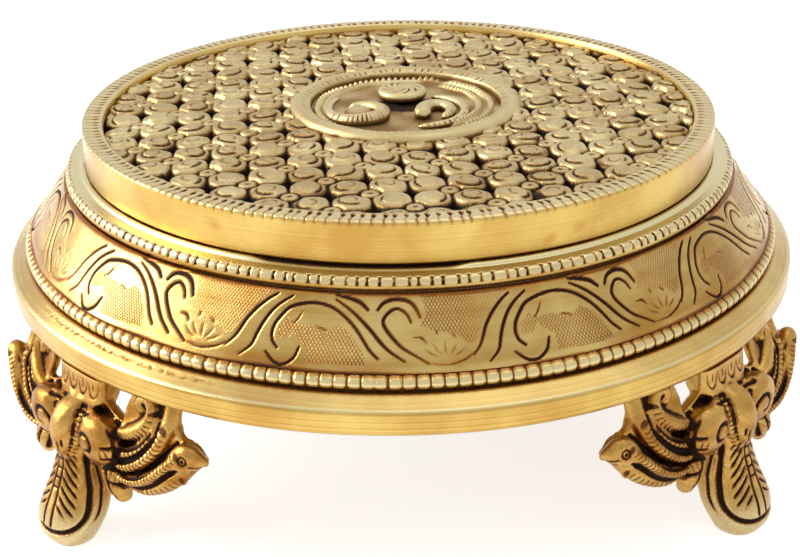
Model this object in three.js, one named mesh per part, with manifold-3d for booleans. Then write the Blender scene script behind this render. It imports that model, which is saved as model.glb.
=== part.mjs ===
// A round cast-brass bajot: a low stand with a flower-lattice top on four scrolled legs.
// Millimetres, +Z up, the floor at z = 0, the table's axis on z and its front towards -Y.
import * as THREE from 'three';
import { mergeVertices } from 'three/addons/utils/BufferGeometryUtils.js';
import Module from 'manifold-3d';

const wasm = await Module();
wasm.setup();

// Driving dimensions
const legHeight = 39.8;          // floor to the underside of the flange
const flangeRadius = 99.7;
const flangeWall = 5.3;          // upright edge of the flange
const flangeSlopeRise = 2.3;
const flangeSlopeRun = 4.3;
const flangeWidth = 17.7;
const skirtInset = 5.6;          // flange's edge to the skirt's foot
const coneRun = 9.6;
const coneRise = 13.3;
const skirtWall = 2.4;
const lowerBeadRadius = 1.5;
const upperBeadRadius = 1.7;
const beadCrease = 0.5;          // how far a bead's root is cut in
const rimInset = 5.5;            // top of the skirt's cone to the rim's edge
const rimFaceWidth = 5.2;
const rimChamfer = 0.4;
const drumHeight = 9.8;
const drumWall = 2.6;
const seamHeight = 0.6;          // open joint line under the drum
const seamDepth = 1.2;
const ledgeWidth = 3;
const ledgeThickness = 2;
const spigotDepth = 3.2;
const fit = 0.3;                 // clearance where one piece sits on or in another

const plateThickness = 5.4;      // lattice plate, underside to petal crowns
const petalPitch = 8.85;
const latticeTurn = 5;           // degrees
const crownRecess = 1.8;         // petal crowns below the rim's face
const beadDrop = 0.9;            // round beads below the petal crowns
const petalEdgeDrop = 1.4;
const grooveDrop = 2;            // groove round each bead
const voidDrop = 3.6;            // diamond voids below the petal crowns

const medallionRadius = 29.6;
const medallionAside = 1.9;      // it was fitted by hand a little right of the middle
const medallionBack = 3.7;       // and a little behind it
const medallionRingWidth = 5.2;
const medallionFloorDrop = 2.4;  // its sunk field below its ring
const medallionFlange = 1;
const knobRadius = 6.2;
const scrollTube = 1.9;
const studRadius = 2;
const studLength = 9;
const nutAcross = 7;
const nutHeight = 3.2;
const washerRadius = 5;
const washerThickness = 1;

const legAzimuth = 46.5;         // degrees either side of the front and of the back
const wingReach = 39.4;          // leg axis to the beak, along the flange's edge
const footThrow = 12.5;          // toe beyond the flange's edge
const legWidth = 8.4;            // half the foot's greatest width
const legDepth = 8.2;            // half the foot's greatest depth
const limbWidth = 4.2;           // half the widest scroll of a wing
const limbDepth = 3.1;
const wingThickness = 2.6;       // sheet behind the scrolls of a wing
const voluteRadius = 6;
const pegRadius = 1.6;           // peg on the collar, let into the flange
const pegLength = 3.2;
const pegInset = 4;              // peg axis in from the flange's edge

// Facets
const roundSides = 44;
const smallSides = 12;
const beadSteps = 4;
const limbSides = 5;
const scrollSides = 6;
const voluteSides = 9;
const footSides = 10;

const overrun = 2 * legHeight;   // how far a cutting solid runs past what it cuts
const grain = fit / 1000;        // corners closer than this are one corner

// Levels above the floor, and radii that follow from the sizes
const flangeBoreRadius = flangeRadius - flangeWidth;
const coneFootRadius = flangeRadius - skirtInset;
const coneTopRadius = coneFootRadius - coneRun;
const rimRadius = coneTopRadius - rimInset;
const flangeUnder = legHeight;
const flangeShoulder = flangeUnder + flangeWall;
const skirtSeat = flangeShoulder + flangeSlopeRise;
const skirtFoot = skirtSeat + fit;
const coneFoot = skirtFoot + 2 * lowerBeadRadius + beadCrease;
const coneTop = coneFoot + coneRise;
const skirtLedge = coneTop + 2 * upperBeadRadius;
const skirtLip = skirtLedge + seamHeight;
const drumFoot = skirtLip + fit;
const rimTop = drumFoot + drumHeight;
const rimBoreRadius = rimRadius - rimFaceWidth;
const spigotRadius = rimRadius - seamDepth - drumWall;
const plateRadius = rimBoreRadius - fit;
const crownLevel = rimTop - crownRecess;
const plateUnder = crownLevel - plateThickness;
const ledgeLevel = plateUnder - fit;
const medallionTop = rimTop - fit;
const medallionFloor = medallionTop - medallionFloorDrop;
const medallionUnder = medallionFloor - medallionFlange;
const medallionSeat = medallionUnder - fit;
const legSeat = legHeight - fit;

const brass = {
  polished: { color: 0xd6b45c, roughness: 0.28, metalness: 1 },
  turned: { color: 0xd9ae55, roughness: 0.24, metalness: 1 },
  pale: { color: 0xd9c98f, roughness: 0.36, metalness: 1 },
  cast: { color: 0xc99d43, roughness: 0.38, metalness: 1 },
  steel: { color: 0x8d8f90, roughness: 0.4, metalness: 1 },
};

// Only positions are kept, so that shared corners merge and the shape closes.
function solid(geometry) {
  geometry.deleteAttribute('normal');
  geometry.deleteAttribute('uv');
  const merged = mergeVertices(geometry, grain);
  return new wasm.Manifold(new wasm.Mesh({
    numProp: 3,
    vertProperties: new Float32Array(merged.attributes.position.array),
    triVerts: new Uint32Array(merged.index.array),
  }));
}

function geometryOf(shape) {
  const mesh = shape.getMesh();
  const geometry = new THREE.BufferGeometry();
  geometry.setAttribute('position', new THREE.BufferAttribute(mesh.vertProperties, 3));
  geometry.setIndex(new THREE.BufferAttribute(mesh.triVerts, 1));
  geometry.computeVertexNormals();
  return geometry;
}

// A profile of [radius, height] pairs, listed anticlockwise, turned round the z axis.
function turned(profile, sides) {
  const points = profile.map(([radius, height]) => new THREE.Vector2(radius, height));
  if (profile[0][0] > 0) {
    points.push(points[0].clone());
  }
  return new THREE.LatheGeometry(points, sides).rotateX(Math.PI / 2);
}

// A solid disc between two levels.
function disc(radius, from, to) {
  return turned([[0, from], [radius, from], [radius, to], [0, to]], roundSides);
}

// An upright cylinder centred on the origin.
function cylinder(radius, height) {
  return new THREE.CylinderGeometry(radius, radius, height, smallSides).rotateX(Math.PI / 2);
}

// Points of a half-round moulding on the outside of a turned piece. The arc runs from its root
// up to its top, in degrees from straight out.
function beadProfile(radius, height, beadRadius, [from, to]) {
  const points = [];
  for (let step = 0; step <= beadSteps; step += 1) {
    const angle = THREE.MathUtils.degToRad(from + (to - from) * (step / beadSteps));
    points.push([radius + beadRadius * Math.cos(angle), height + beadRadius * Math.sin(angle)]);
  }
  return points;
}

// A closed skin over rings of points that all have the same count, with a fan at each end.
function skinned(rings) {
  const sides = rings[0].length;
  const positions = rings.flat().flatMap((point) => point.toArray());
  const index = [];
  for (let ring = 0; ring < rings.length - 1; ring += 1) {
    for (let side = 0; side < sides; side += 1) {
      const here = ring * sides + side;
      const beside = ring * sides + ((side + 1) % sides);
      index.push(here, beside, here + sides, beside, beside + sides, here + sides);
    }
  }
  const last = (rings.length - 1) * sides;
  for (let side = 1; side < sides - 1; side += 1) {
    index.push(0, side + 1, side);
    index.push(last, last + side, last + side + 1);
  }
  const geometry = new THREE.BufferGeometry();
  geometry.setAttribute('position', new THREE.Float32BufferAttribute(positions, 3));
  geometry.setIndex(index);
  return geometry;
}

// The rim, its upright band, the ledge that carries the plate and the spigot that fits the skirt.
function drumRing() {
  const profile = [
    [spigotRadius - drumWall, drumFoot - spigotDepth],
    [spigotRadius, drumFoot - spigotDepth],
    [spigotRadius, drumFoot],
    [rimRadius, drumFoot],
    [rimRadius, rimTop - rimChamfer],
    [rimRadius - rimChamfer, rimTop],
    [rimBoreRadius + rimChamfer, rimTop],
    [rimBoreRadius, rimTop - rimChamfer],
    [rimBoreRadius, ledgeLevel],
    [rimBoreRadius - ledgeWidth, ledgeLevel],
    [rimBoreRadius - ledgeWidth, ledgeLevel - ledgeThickness],
  ];
  return turned(profile, roundSides);
}

// The conical skirt with a bead at its foot and one at its shoulder, hollow and open below.
function skirt() {
  const lowerArc = [-80, 70];
  const upperArc = [-50, 90];
  const lowerBead = coneFootRadius;
  const upperBead = coneTopRadius - beadCrease - upperBeadRadius;
  const outside = [
    [coneFootRadius - skirtWall, skirtFoot],
    ...beadProfile(lowerBead, skirtFoot + lowerBeadRadius, lowerBeadRadius, lowerArc),
    [coneFootRadius, coneFoot],
    [coneTopRadius, coneTop],
    ...beadProfile(upperBead, coneTop + upperBeadRadius, upperBeadRadius, upperArc),
    [rimRadius - seamDepth, skirtLedge],
    [rimRadius - seamDepth, skirtLip],
  ];
  const inside = [
    [spigotRadius + fit, skirtLip],
    [spigotRadius + fit, coneTop + skirtWall / 2],
    [coneTopRadius - skirtWall, coneTop - skirtWall / 2],
    [coneFootRadius - skirtWall, coneFoot],
  ];
  return turned([...outside, ...inside], roundSides);
}

// The flange: a flat ring with a sloping shoulder that the skirt stands on, with a blind hole for
// each leg's peg.
function baseRing() {
  const seatOuter = flangeRadius - flangeSlopeRun;
  const seatInner = coneFootRadius - skirtWall - fit;
  const profile = [
    [flangeBoreRadius, flangeUnder],
    [flangeRadius, flangeUnder],
    [flangeRadius, flangeShoulder],
    [seatOuter, skirtSeat],
    [seatInner, skirtSeat],
    [seatInner, flangeShoulder],
    [flangeBoreRadius, flangeShoulder],
  ];
  let ring = solid(turned(profile, roundSides));
  for (const { turn } of legs) {
    const hole = cylinder(pegRadius + fit, 2 * (pegLength + fit))
      .translate(flangeRadius - pegInset, 0, flangeUnder)
      .rotateZ(THREE.MathUtils.degToRad(turn));
    ring = ring.subtract(solid(hole));
  }
  return geometryOf(ring);
}

// The petal lattice. Petals fill the squares of a grid and lie along one diagonal or the other,
// bead to bead; the grid's crossings are in turn a round bead and a diamond void. Places in a
// square are shares of its side.
function latticePlate() {
  const cells = Math.ceil(plateRadius / petalPitch) + 2;
  const shiftShares = [-0.3, 0.58];
  const relief = [];
  for (let column = -cells; column < cells; column += 1) {
    for (let row = -cells; row < cells; row += 1) {
      // Even squares run up to the right; odd ones are the same petal mirrored.
      const even = (column + row) % 2 === 0;
      const place = (x, y, drop) => new THREE.Vector3(
        (column + shiftShares[0] + (even ? x : 1 - x)) * petalPitch,
        (row + shiftShares[1] + y) * petalPitch,
        crownLevel - drop,
      );
      for (const face of petal(place)) {
        relief.push(even ? face : [face[0], face[2], face[1]]);
      }
    }
  }
  const petals = slab(relief, plateUnder - fit).rotateZ(THREE.MathUtils.degToRad(latticeTurn));
  const seatRadius = medallionRadius + fit;
  const plate = solid(petals)
    .intersect(solid(disc(plateRadius, plateUnder, rimTop)))
    .add(solid(aside(disc(seatRadius, plateUnder, medallionSeat))))
    .subtract(solid(aside(disc(seatRadius, medallionSeat, rimTop))))
    .subtract(solid(aside(cylinder(studRadius + fit, overrun).translate(0, 0, plateUnder))));
  return geometryOf(plate);
}

// The faces of one square: half a petal with its raised oval, a quarter bead in its groove and a
// steep-walled half void, and the same turned by half a turn about the square's middle.
function petal(place) {
  const beadShare = 0.17;
  const grooveShare = 0.22;
  const roundShare = Math.SQRT1_2;
  const edgeShare = 0.6;
  const floorShare = 0.68;
  const oval = [[0.3, 0.3], [0.56, 0.26], [0.74, 0.44]];
  const nearest = [0, 1, 1, 2, 3];   // the oval's corner that each side of the rim runs up to
  const half = (opposite) => {
    const at = (x, y, drop) => (opposite ? place(1 - x, 1 - y, drop) : place(x, y, drop));
    const roundBead = (reach, drop) => [
      at(reach, 0, drop), at(reach * roundShare, reach * roundShare, drop), at(0, reach, drop)];
    return {
      bead: [at(0, 0, beadDrop), ...roundBead(beadShare, beadDrop)],
      groove: roundBead(grooveShare, grooveDrop),
      edge: [at(edgeShare, 0, petalEdgeDrop), at(1, 1 - edgeShare, petalEdgeDrop)],
      floor: [at(floorShare, 0, voidDrop), at(1, 0, voidDrop), at(1, 1 - floorShare, voidDrop)],
      oval: oval.map(([x, y]) => at(x, y, 0)),
    };
  };
  const halves = [half(false), half(true)];
  const crown = halves.flatMap((part) => part.oval);
  const rim = halves.flatMap((part, side) => (
    [part.groove[1], part.groove[0], ...part.edge, halves[1 - side].groove[2]]));
  const faces = rim.map((point, side) => {
    const count = nearest.length;
    const corner = nearest[side % count] + (side < count ? 0 : oval.length);
    return [point, rim[(side + 1) % rim.length], crown[corner % crown.length]];
  });
  faces.push(...faces.flatMap(([point, , corner], side) => {
    const before = faces[(side + rim.length - 1) % rim.length][2];
    return before === corner ? [] : [[point, corner, before]];
  }));
  for (let corner = 1; corner < crown.length - 1; corner += 1) {
    faces.push([crown[0], crown[corner], crown[corner + 1]]);
  }
  for (const { bead: [middle, right, round, left], groove, edge, floor } of halves) {
    faces.push([middle, right, round], [middle, round, left]);
    faces.push([right, groove[0], groove[1]], [right, groove[1], round]);
    faces.push([round, groove[1], groove[2]], [round, groove[2], left]);
    faces.push([edge[0], floor[0], floor[2]], [edge[0], floor[2], edge[1]], floor);
  }
  return faces;
}

// Puts a shape of the medallion, its seat or its fixing where the medallion was fitted.
function aside(geometry) {
  return geometry.translate(medallionAside, medallionBack, 0);
}

// A slab between a relief of triangles and a flat underside: each open edge of the relief gets
// a wall.
function slab(relief, underside) {
  const down = (point) => new THREE.Vector3(point.x, point.y, underside);
  const key = ({ x, y }) => `${Math.round(x / grain)} ${Math.round(y / grain)}`;
  const faces = [];
  const open = new Map();
  for (const [a, b, c] of relief) {
    faces.push([a, b, c], [down(a), down(c), down(b)]);
    for (const [from, to] of [[a, b], [b, c], [c, a]]) {
      const back = `${key(to)}|${key(from)}`;
      if (open.has(back)) {
        open.delete(back);
      } else {
        open.set(`${key(from)}|${key(to)}`, [from, to]);
      }
    }
  }
  for (const [from, to] of open.values()) {
    faces.push([from, down(from), to], [to, down(from), down(to)]);
  }
  return new THREE.BufferGeometry().setFromPoints(faces.flat());
}

// The medallion's two scrolls: centre and outer radius as shares of the sunk field's radius, and
// the start and the sweep of the spiral in degrees.
const scrollShares = [
  { centre: [-0.5, -0.22], outer: 0.27, from: 60, sweep: 470 },
  { centre: [0.4, -0.26], outer: 0.25, from: 120, sweep: -400 },
];

// The knob: its middle as shares of the sunk field's radius, then its section, with radius as a
// share of knobRadius and height as a share of the way from the medallion's underside to its top.
const knobPlaceShares = [-0.03, 0.28];
const knobShares = [[0, 0.1], [0.8, 0.1], [1, 0.65], [0.8, 1], [0, 1]];

// The centre medallion: a raised ring round a sunk field with a knob and two scrolls, cast with
// the stud that holds it.
function medallion() {
  const ringInner = medallionRadius - medallionRingWidth;
  const shoulder = medallionRingWidth / 4;
  const profile = [
    [0, medallionUnder - studLength],
    [studRadius, medallionUnder - studLength],
    [studRadius, medallionUnder],
    [medallionRadius, medallionUnder],
    [medallionRadius, medallionTop - shoulder],
    [medallionRadius - shoulder, medallionTop],
    [ringInner + shoulder, medallionTop],
    [ringInner, medallionTop - shoulder],
    [ringInner, medallionFloor],
    [0, medallionFloor],
  ];
  const knob = knobShares.map(([radius, up]) => (
    [radius * knobRadius, THREE.MathUtils.lerp(medallionUnder, medallionTop, up)]));
  const [knobAcross, knobBack] = knobPlaceShares.map((share) => share * ringInner);
  let body = solid(turned(profile, roundSides))
    .add(solid(turned(knob, smallSides).translate(knobAcross, knobBack, 0)));
  for (const shares of scrollShares) {
    body = body.add(solid(scroll(shares, ringInner)));
  }
  return geometryOf(body);
}

// A spiral scroll lying on the medallion's field: it swells from its tail and tapers to its eye.
function scroll({ centre, outer, from, sweep }, field) {
  const stepAngle = 30;
  const eyeShare = 0.2;
  const thinShare = 0.55;
  const swell = 1.6;
  const steps = Math.round(Math.abs(sweep) / stepAngle);
  const middle = new THREE.Vector3(centre[0] * field, centre[1] * field, medallionFloor);
  middle.z += scrollTube / 3;
  const rings = [];
  for (let step = 0; step <= steps; step += 1) {
    const share = step / steps;
    const angle = THREE.MathUtils.degToRad(from + sweep * share);
    const radius = outer * field * THREE.MathUtils.lerp(1, eyeShare, share);
    const bulge = Math.sin(Math.PI * Math.min(1, share * swell));
    const size = scrollTube * THREE.MathUtils.lerp(thinShare, 1, bulge);
    const outward = new THREE.Vector3(Math.cos(angle), Math.sin(angle), 0);
    const ring = [];
    for (let side = 0; side < scrollSides; side += 1) {
      const turn = (side / scrollSides) * 2 * Math.PI;
      const point = middle.clone().addScaledVector(outward, radius + size * Math.cos(turn));
      point.z += size * Math.sin(turn);
      ring.push(point);
    }
    rings.push(sweep > 0 ? ring.reverse() : ring);
  }
  return skinned(rings);
}

// A leg is drawn in three directions: along the flange's edge from the leg's axis, up from the
// floor, and out beyond the flange's edge. This puts such a point in space, with the axis on +X.
function legPoint(along, up, out) {
  const angle = along / flangeRadius;
  const radius = flangeRadius + out;
  return new THREE.Vector3(radius * Math.cos(angle), radius * Math.sin(angle), up);
}

// The leg's middle, from the collar down the knee and the ankle to the toe, as level sections.
// Each row gives height, middle of the section out from the flange's edge, half width and half
// depth, as shares of legHeight, footThrow, legWidth and legDepth.
const spineShares = [
  [1.05, -0.272, 0.905, 0.39],
  [0.912, -0.208, 0.929, 0.329],
  [0.812, -0.064, 0.857, 0.439],
  [0.698, 0.112, 0.738, 0.561],
  [0.56, 0.176, 0.643, 0.585],
  [0.46, 0.168, 0.655, 0.634],
  [0.334, 0.192, 0.857, 0.902],
  [0.171, 0.4, 0.988, 0.939],
  [0.05, 0.56, 0.857, 0.768],
  [-0.02, 0.544, 0.619, 0.561],
];

// The long lobe on the knee: as above.
const lobeShares = [
  [0.925, 0.08, 0.19, 0.171],
  [0.812, 0.312, 0.357, 0.293],
  [0.686, 0.44, 0.393, 0.305],
  [0.563, 0.4, 0.119, 0.122],
];

// The outline of one wing's sheet, anticlockwise: from the leg's core along the belly to the
// beak, up the neck, along the flange and round the hole beside the collar. Each row gives a
// corner's place along and up and the sheet's middle out from the flange's edge, as shares of
// wingReach, legHeight and footThrow.
const sheetShares = [
  [0, 0.447, 0.129],
  [0.216, 0.485, 0.127],
  [0.299, 0.397, 0.133],
  [0.383, 0.367, 0.135],
  [0.444, 0.435, 0.13],
  [0.508, 0.482, 0.127],
  [0.68, 0.5, 0.126],
  [0.812, 0.568, 0.121],
  [0.939, 0.683, 0.067],
  [0.987, 0.739, 0.036],
  [0.904, 0.799, -0.042],
  [0.797, 0.824, -0.086],
  [0.751, 0.899, -0.198],
  [0.741, 1.015, -0.32],
  [0.426, 1.015, -0.32],
  [0.376, 0.887, -0.183],
  [0.381, 0.804, -0.051],
  [0.266, 0.834, -0.104],
  [0.178, 0.915, -0.216],
  [0, 0.925, -0.228],
];

// The limbs of one wing. Each row gives a station's place along and up, its middle out from the
// flange's edge, its half width and half depth, as shares of wingReach, legHeight, footThrow,
// limbWidth and limbDepth.
const wingShares = {
  bird: [
    [1, 0.744, 0.12, 0.167, 0.323],
    [0.929, 0.744, 0.136, 0.524, 0.645],
    [0.838, 0.734, 0.16, 0.929, 0.903],
    [0.698, 0.613, 0.176, 1.024, 0.968],
    [0.482, 0.573, 0.168, 0.905, 0.903],
    [0.178, 0.648, 0.048, 0.667, 0.742],
  ],
  neck: [
    [0.683, 1.038, -0.312, 0.619, 0.581],
    [0.683, 0.912, -0.192, 0.619, 0.645],
    [0.64, 0.809, -0.024, 0.571, 0.742],
    [0.482, 0.706, 0.088, 0.524, 0.742],
    [0.152, 0.714, 0.048, 0.405, 0.613],
  ],
  curl: [
    [0.317, 0.744, 0.064, 0.238, 0.419],
    [0.457, 0.794, 0.032, 0.381, 0.645],
    [0.569, 0.849, -0.04, 0.429, 0.71],
    [0.589, 0.927, -0.152, 0.381, 0.645],
    [0.523, 0.967, -0.208, 0.357, 0.581],
    [0.475, 0.92, -0.144, 0.286, 0.484],
  ],
  bulb: [
    [0.279, 0.573, 0.08, 0.429, 0.645],
    [0.36, 0.457, 0.16, 0.905, 0.903],
    [0.386, 0.352, 0.176, 0.452, 0.516],
  ],
};

// The volute: its middle along and up, as shares of wingReach and legHeight, then its sections
// from the back to the front, each as a place out from the flange's edge and a radius, as shares
// of footThrow and voluteRadius.
const voluteAlongShare = 0.259;
const voluteUpShare = 0.726;
const voluteShares = [[-0.08, 0.8], [0.28, 1], [0.45, 0.86], [0.56, 0.45]];

// One limb: an oval section carried along its stations, mirrored for the wing on the other side.
function limb(stations, side) {
  const middles = stations.map(([along, up, out]) => (
    new THREE.Vector3(side * along * wingReach, up * legHeight, out * footThrow)));
  const rings = stations.map(([, , , width, depth], station) => {
    const before = middles[Math.max(station - 1, 0)];
    const after = middles[Math.min(station + 1, middles.length - 1)];
    const across = new THREE.Vector2(before.y - after.y, after.x - before.x).normalize();
    const ring = [];
    for (let corner = 0; corner < limbSides; corner += 1) {
      const turn = (corner / limbSides) * 2 * Math.PI;
      const wide = width * limbWidth * Math.cos(turn);
      const deep = depth * limbDepth * Math.sin(turn);
      const { x, y, z } = middles[station];
      ring.push(legPoint(x + across.x * wide, y + across.y * wide, z + deep));
    }
    return ring;
  });
  return skinned(rings);
}

// The sheet that joins a wing's limbs: its outline, front and back, with a wall between.
function sheet(side) {
  const outline = sheetShares.map(([along, up]) => new THREE.Vector2(along * wingReach, up * legHeight));
  const skin = (offset) => sheetShares.map(([along, up, out]) => (
    legPoint(side * along * wingReach, up * legHeight, out * footThrow + offset)));
  const front = skin(wingThickness / 2);
  const back = skin(-wingThickness / 2);
  const faces = [];
  for (const [a, b, c] of THREE.ShapeUtils.triangulateShape(outline, [])) {
    faces.push([front[a], front[b], front[c]], [back[a], back[c], back[b]]);
  }
  outline.forEach((corner, from) => {
    const to = (from + 1) % outline.length;
    faces.push([front[from], back[from], front[to]], [front[to], back[from], back[to]]);
  });
  const positions = (side > 0 ? faces : faces.map(([a, b, c]) => [a, c, b])).flat();
  return new THREE.BufferGeometry().setFromPoints(positions);
}

// A stack of level oval sections, squarer than an ellipse, listed from the top down.
function stack(shares, sides) {
  const squareness = 0.8;
  const squarer = (value) => Math.sign(value) * Math.abs(value) ** squareness;
  const rings = shares.map(([up, out, width, depth]) => {
    const ring = [];
    for (let corner = 0; corner < sides; corner += 1) {
      const turn = (corner / sides) * 2 * Math.PI;
      const along = width * legWidth * squarer(Math.cos(turn));
      const deep = depth * legDepth * squarer(Math.sin(turn));
      ring.push(legPoint(along, up * legHeight, out * footThrow + deep));
    }
    return ring;
  });
  return skinned(rings);
}

// The big volute beside the knee, as a domed boss that faces out.
function volute(side) {
  const rings = voluteShares.map(([out, radius]) => {
    const ring = [];
    for (let corner = 0; corner < voluteSides; corner += 1) {
      const turn = (corner / voluteSides) * 2 * Math.PI;
      const reach = radius * voluteRadius;
      const along = side * (voluteAlongShare * wingReach + reach * Math.cos(turn));
      ring.push(legPoint(along, voluteUpShare * legHeight + reach * Math.sin(turn), out * footThrow));
    }
    return side > 0 ? ring : ring.reverse();
  });
  return skinned(rings);
}

// One leg as it is cast, dressed flat at the seat under the flange and at the foot, with its peg.
function leg() {
  let body = solid(stack(spineShares, footSides)).add(solid(stack(lobeShares, limbSides)));
  for (const side of [1, -1]) {
    const limbs = Object.values(wingShares).map((stations) => limb(stations, side));
    for (const part of [sheet(side), volute(side), ...limbs]) {
      body = body.add(solid(part));
    }
  }
  const dressed = body.intersect(solid(disc(flangeRadius + 2 * footThrow, 0, legSeat)));
  const peg = cylinder(pegRadius, 2 * pegLength).translate(flangeRadius - pegInset, 0, legSeat);
  return geometryOf(dressed.add(solid(peg)));
}

// A washer and a hexagonal nut on the stud, under the plate.
function washer(level) {
  const profile = [
    [studRadius + fit, level - washerThickness],
    [washerRadius, level - washerThickness],
    [washerRadius, level],
    [studRadius + fit, level],
  ];
  return turned(profile, smallSides);
}

function nut(level) {
  const corner = nutAcross / Math.sqrt(3);
  const blank = new THREE.CylinderGeometry(corner, corner, nutHeight, 6).rotateX(Math.PI / 2);
  const bore = cylinder(studRadius + fit, overrun);
  return geometryOf(solid(blank).subtract(solid(bore)).translate(0, 0, level - nutHeight / 2));
}

// The legs' turns about the table's axis, in degrees from +X.
const legs = [
  { name: 'front_right', turn: legAzimuth - 90 },
  { name: 'front_left', turn: -legAzimuth - 90 },
  { name: 'rear_right', turn: 90 - legAzimuth },
  { name: 'rear_left', turn: 90 + legAzimuth },
];

const group = new THREE.Group();

function piece(name, geometry, finish) {
  const mesh = new THREE.Mesh(geometry, new THREE.MeshStandardMaterial(finish));
  mesh.name = name;
  group.add(mesh);
  return mesh;
}

piece('drum_ring', drumRing(), brass.turned);
piece('skirt', skirt(), brass.polished);
piece('base_ring', baseRing(), brass.turned);
piece('lattice_plate', latticePlate(), brass.pale);
piece('centre_medallion', aside(medallion()), brass.pale);
const washerTop = plateUnder - fit;
const nutTop = washerTop - washerThickness - fit;
piece('medallion_washer', aside(washer(washerTop)), brass.steel);
piece('medallion_nut', aside(nut(nutTop)), brass.steel);

const legGeometry = leg();
for (const { name, turn } of legs) {
  piece(`leg_${name}`, legGeometry, brass.cast).rotation.z = THREE.MathUtils.degToRad(turn);
}

export default group;
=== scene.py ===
import math
import bpy
import numpy as np
from mathutils import Matrix, Vector, geometry


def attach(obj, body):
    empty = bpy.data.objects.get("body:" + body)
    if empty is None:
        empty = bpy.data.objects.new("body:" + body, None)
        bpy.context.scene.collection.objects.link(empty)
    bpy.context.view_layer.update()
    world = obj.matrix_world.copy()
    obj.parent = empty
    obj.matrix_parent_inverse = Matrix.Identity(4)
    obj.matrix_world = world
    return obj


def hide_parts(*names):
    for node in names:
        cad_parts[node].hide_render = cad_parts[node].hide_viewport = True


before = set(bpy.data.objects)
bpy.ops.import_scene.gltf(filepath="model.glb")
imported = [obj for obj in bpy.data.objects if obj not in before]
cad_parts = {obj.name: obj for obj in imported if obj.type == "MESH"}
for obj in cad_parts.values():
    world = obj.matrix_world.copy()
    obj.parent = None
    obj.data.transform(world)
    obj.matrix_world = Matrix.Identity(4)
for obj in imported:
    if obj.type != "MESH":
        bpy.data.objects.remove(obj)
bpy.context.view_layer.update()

# Camera: 18 degrees above the rim's centre and 0.38 m from it, as in the photograph, whose turned
# edges its angles were fitted to. Here distances are in metres and angles in radians.
view_distance = 0.3792
view_elevation, view_roll, view_tilt, view_pan = 0.315801, 0.016647, 0.118729, -0.000650
rim_centre = Vector((0, 0, 0.0786))
stand = Vector((0, -math.cos(view_elevation), math.sin(view_elevation)))
aim = -stand
across = aim.cross(Vector((0, 0, 1))).normalized()
above = across.cross(aim)
axes = (Matrix.Rotation(view_roll, 3, "Z") @ Matrix.Rotation(view_tilt, 3, "X")
        @ Matrix.Rotation(view_pan, 3, "Y") @ Matrix((across, above, -aim)))
camera = bpy.data.objects.new("camera", bpy.data.cameras.new("camera"))
camera.data.sensor_width = 36
camera.data.lens = 66.875
camera.matrix_world = Matrix.Translation(rim_centre + stand * view_distance) @ axes.transposed().to_4x4()
bpy.context.scene.collection.objects.link(camera)
bpy.context.scene.camera = camera
bpy.context.scene.view_settings.view_transform = "Standard"

# Studio: a white sweep, a large soft lamp at the left and a weaker one above. What the camera,
# the metal's reflections and clear things see of it is plain white; the floor keeps the shadow.
def linear(colour):
    """An sRGB hex value turned to linear red, green, blue and alpha."""
    parts = [int(colour[i:i + 2], 16) / 255 for i in (1, 3, 5)]
    return [p / 12.92 if p <= 0.04045 else ((p + 0.055) / 1.055) ** 2.4 for p in parts] + [1]


def add(tree, kind, inputs=(), **settings):
    """Adds a node to a tree. Settings are its properties. Inputs are values, other nodes' sockets, or
    nodes, which stand for their first output. A map range has its value at 0, the range that comes in at
    1 and 2 and the one that goes out at 3 and 4. A mix has its share at 0 and values at 2 and 3, or
    colours at 6 and 7."""
    made = tree.nodes.new(kind)
    for key, value in settings.items():
        setattr(made, key, value)
    for socket, value in dict(inputs).items():
        if isinstance(value, bpy.types.Node):
            value = value.outputs[0]
        if isinstance(value, bpy.types.NodeSocket):
            tree.links.new(value, made.inputs[socket])
        else:
            made.inputs[socket].default_value = value
    return made


def seen_directly(tree):
    """1 for camera, reflection and transmission rays, 0 for the light that surfaces scatter."""
    path = add(tree, "ShaderNodeLightPath")
    shiny = add(tree, "ShaderNodeMath", {0: path.outputs["Is Camera Ray"], 1: path.outputs["Is Glossy Ray"]},
                operation="MAXIMUM")
    return add(tree, "ShaderNodeMath", {0: shiny, 1: path.outputs["Is Transmission Ray"]},
               operation="MAXIMUM")


studio_light, floor_light = 0.6, 0.7
world = bpy.data.worlds.new("studio")
world.use_nodes = True
tree = world.node_tree
tree.nodes.clear()
strength = add(tree, "ShaderNodeMapRange", {0: seen_directly(tree), 3: studio_light, 4: 1.0})
backdrop = add(tree, "ShaderNodeBackground", {"Color": [1, 1, 1, 1], "Strength": strength})
add(tree, "ShaderNodeOutputWorld", {"Surface": backdrop})
bpy.context.scene.world = world

# The sweep is a matt white with a glow of its own, which only shows to the camera and in the metal.
floor_paint = bpy.data.materials.new("matt white sweep")
floor_paint.use_nodes = True
tree = floor_paint.node_tree
tree.nodes.clear()
scatter = add(tree, "ShaderNodeBsdfDiffuse", {"Color": [0.8, 0.8, 0.8, 1]})
shown = add(tree, "ShaderNodeMath", {0: seen_directly(tree), 1: floor_light}, operation="MULTIPLY")
glow = add(tree, "ShaderNodeEmission", {"Color": [1, 1, 1, 1], "Strength": shown})
both = add(tree, "ShaderNodeAddShader", {0: scatter, 1: glow})
add(tree, "ShaderNodeOutputMaterial", {"Surface": both})

floor_mesh = bpy.data.meshes.new("floor")
floor_mesh.from_pydata([(-6, -6, 0), (6, -6, 0), (6, 6, 0), (-6, 6, 0)], [], [(0, 1, 2, 3)])
floor_mesh.materials.append(floor_paint)
floor = bpy.data.objects.new("floor", floor_mesh)
bpy.context.scene.collection.objects.link(floor)


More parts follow.
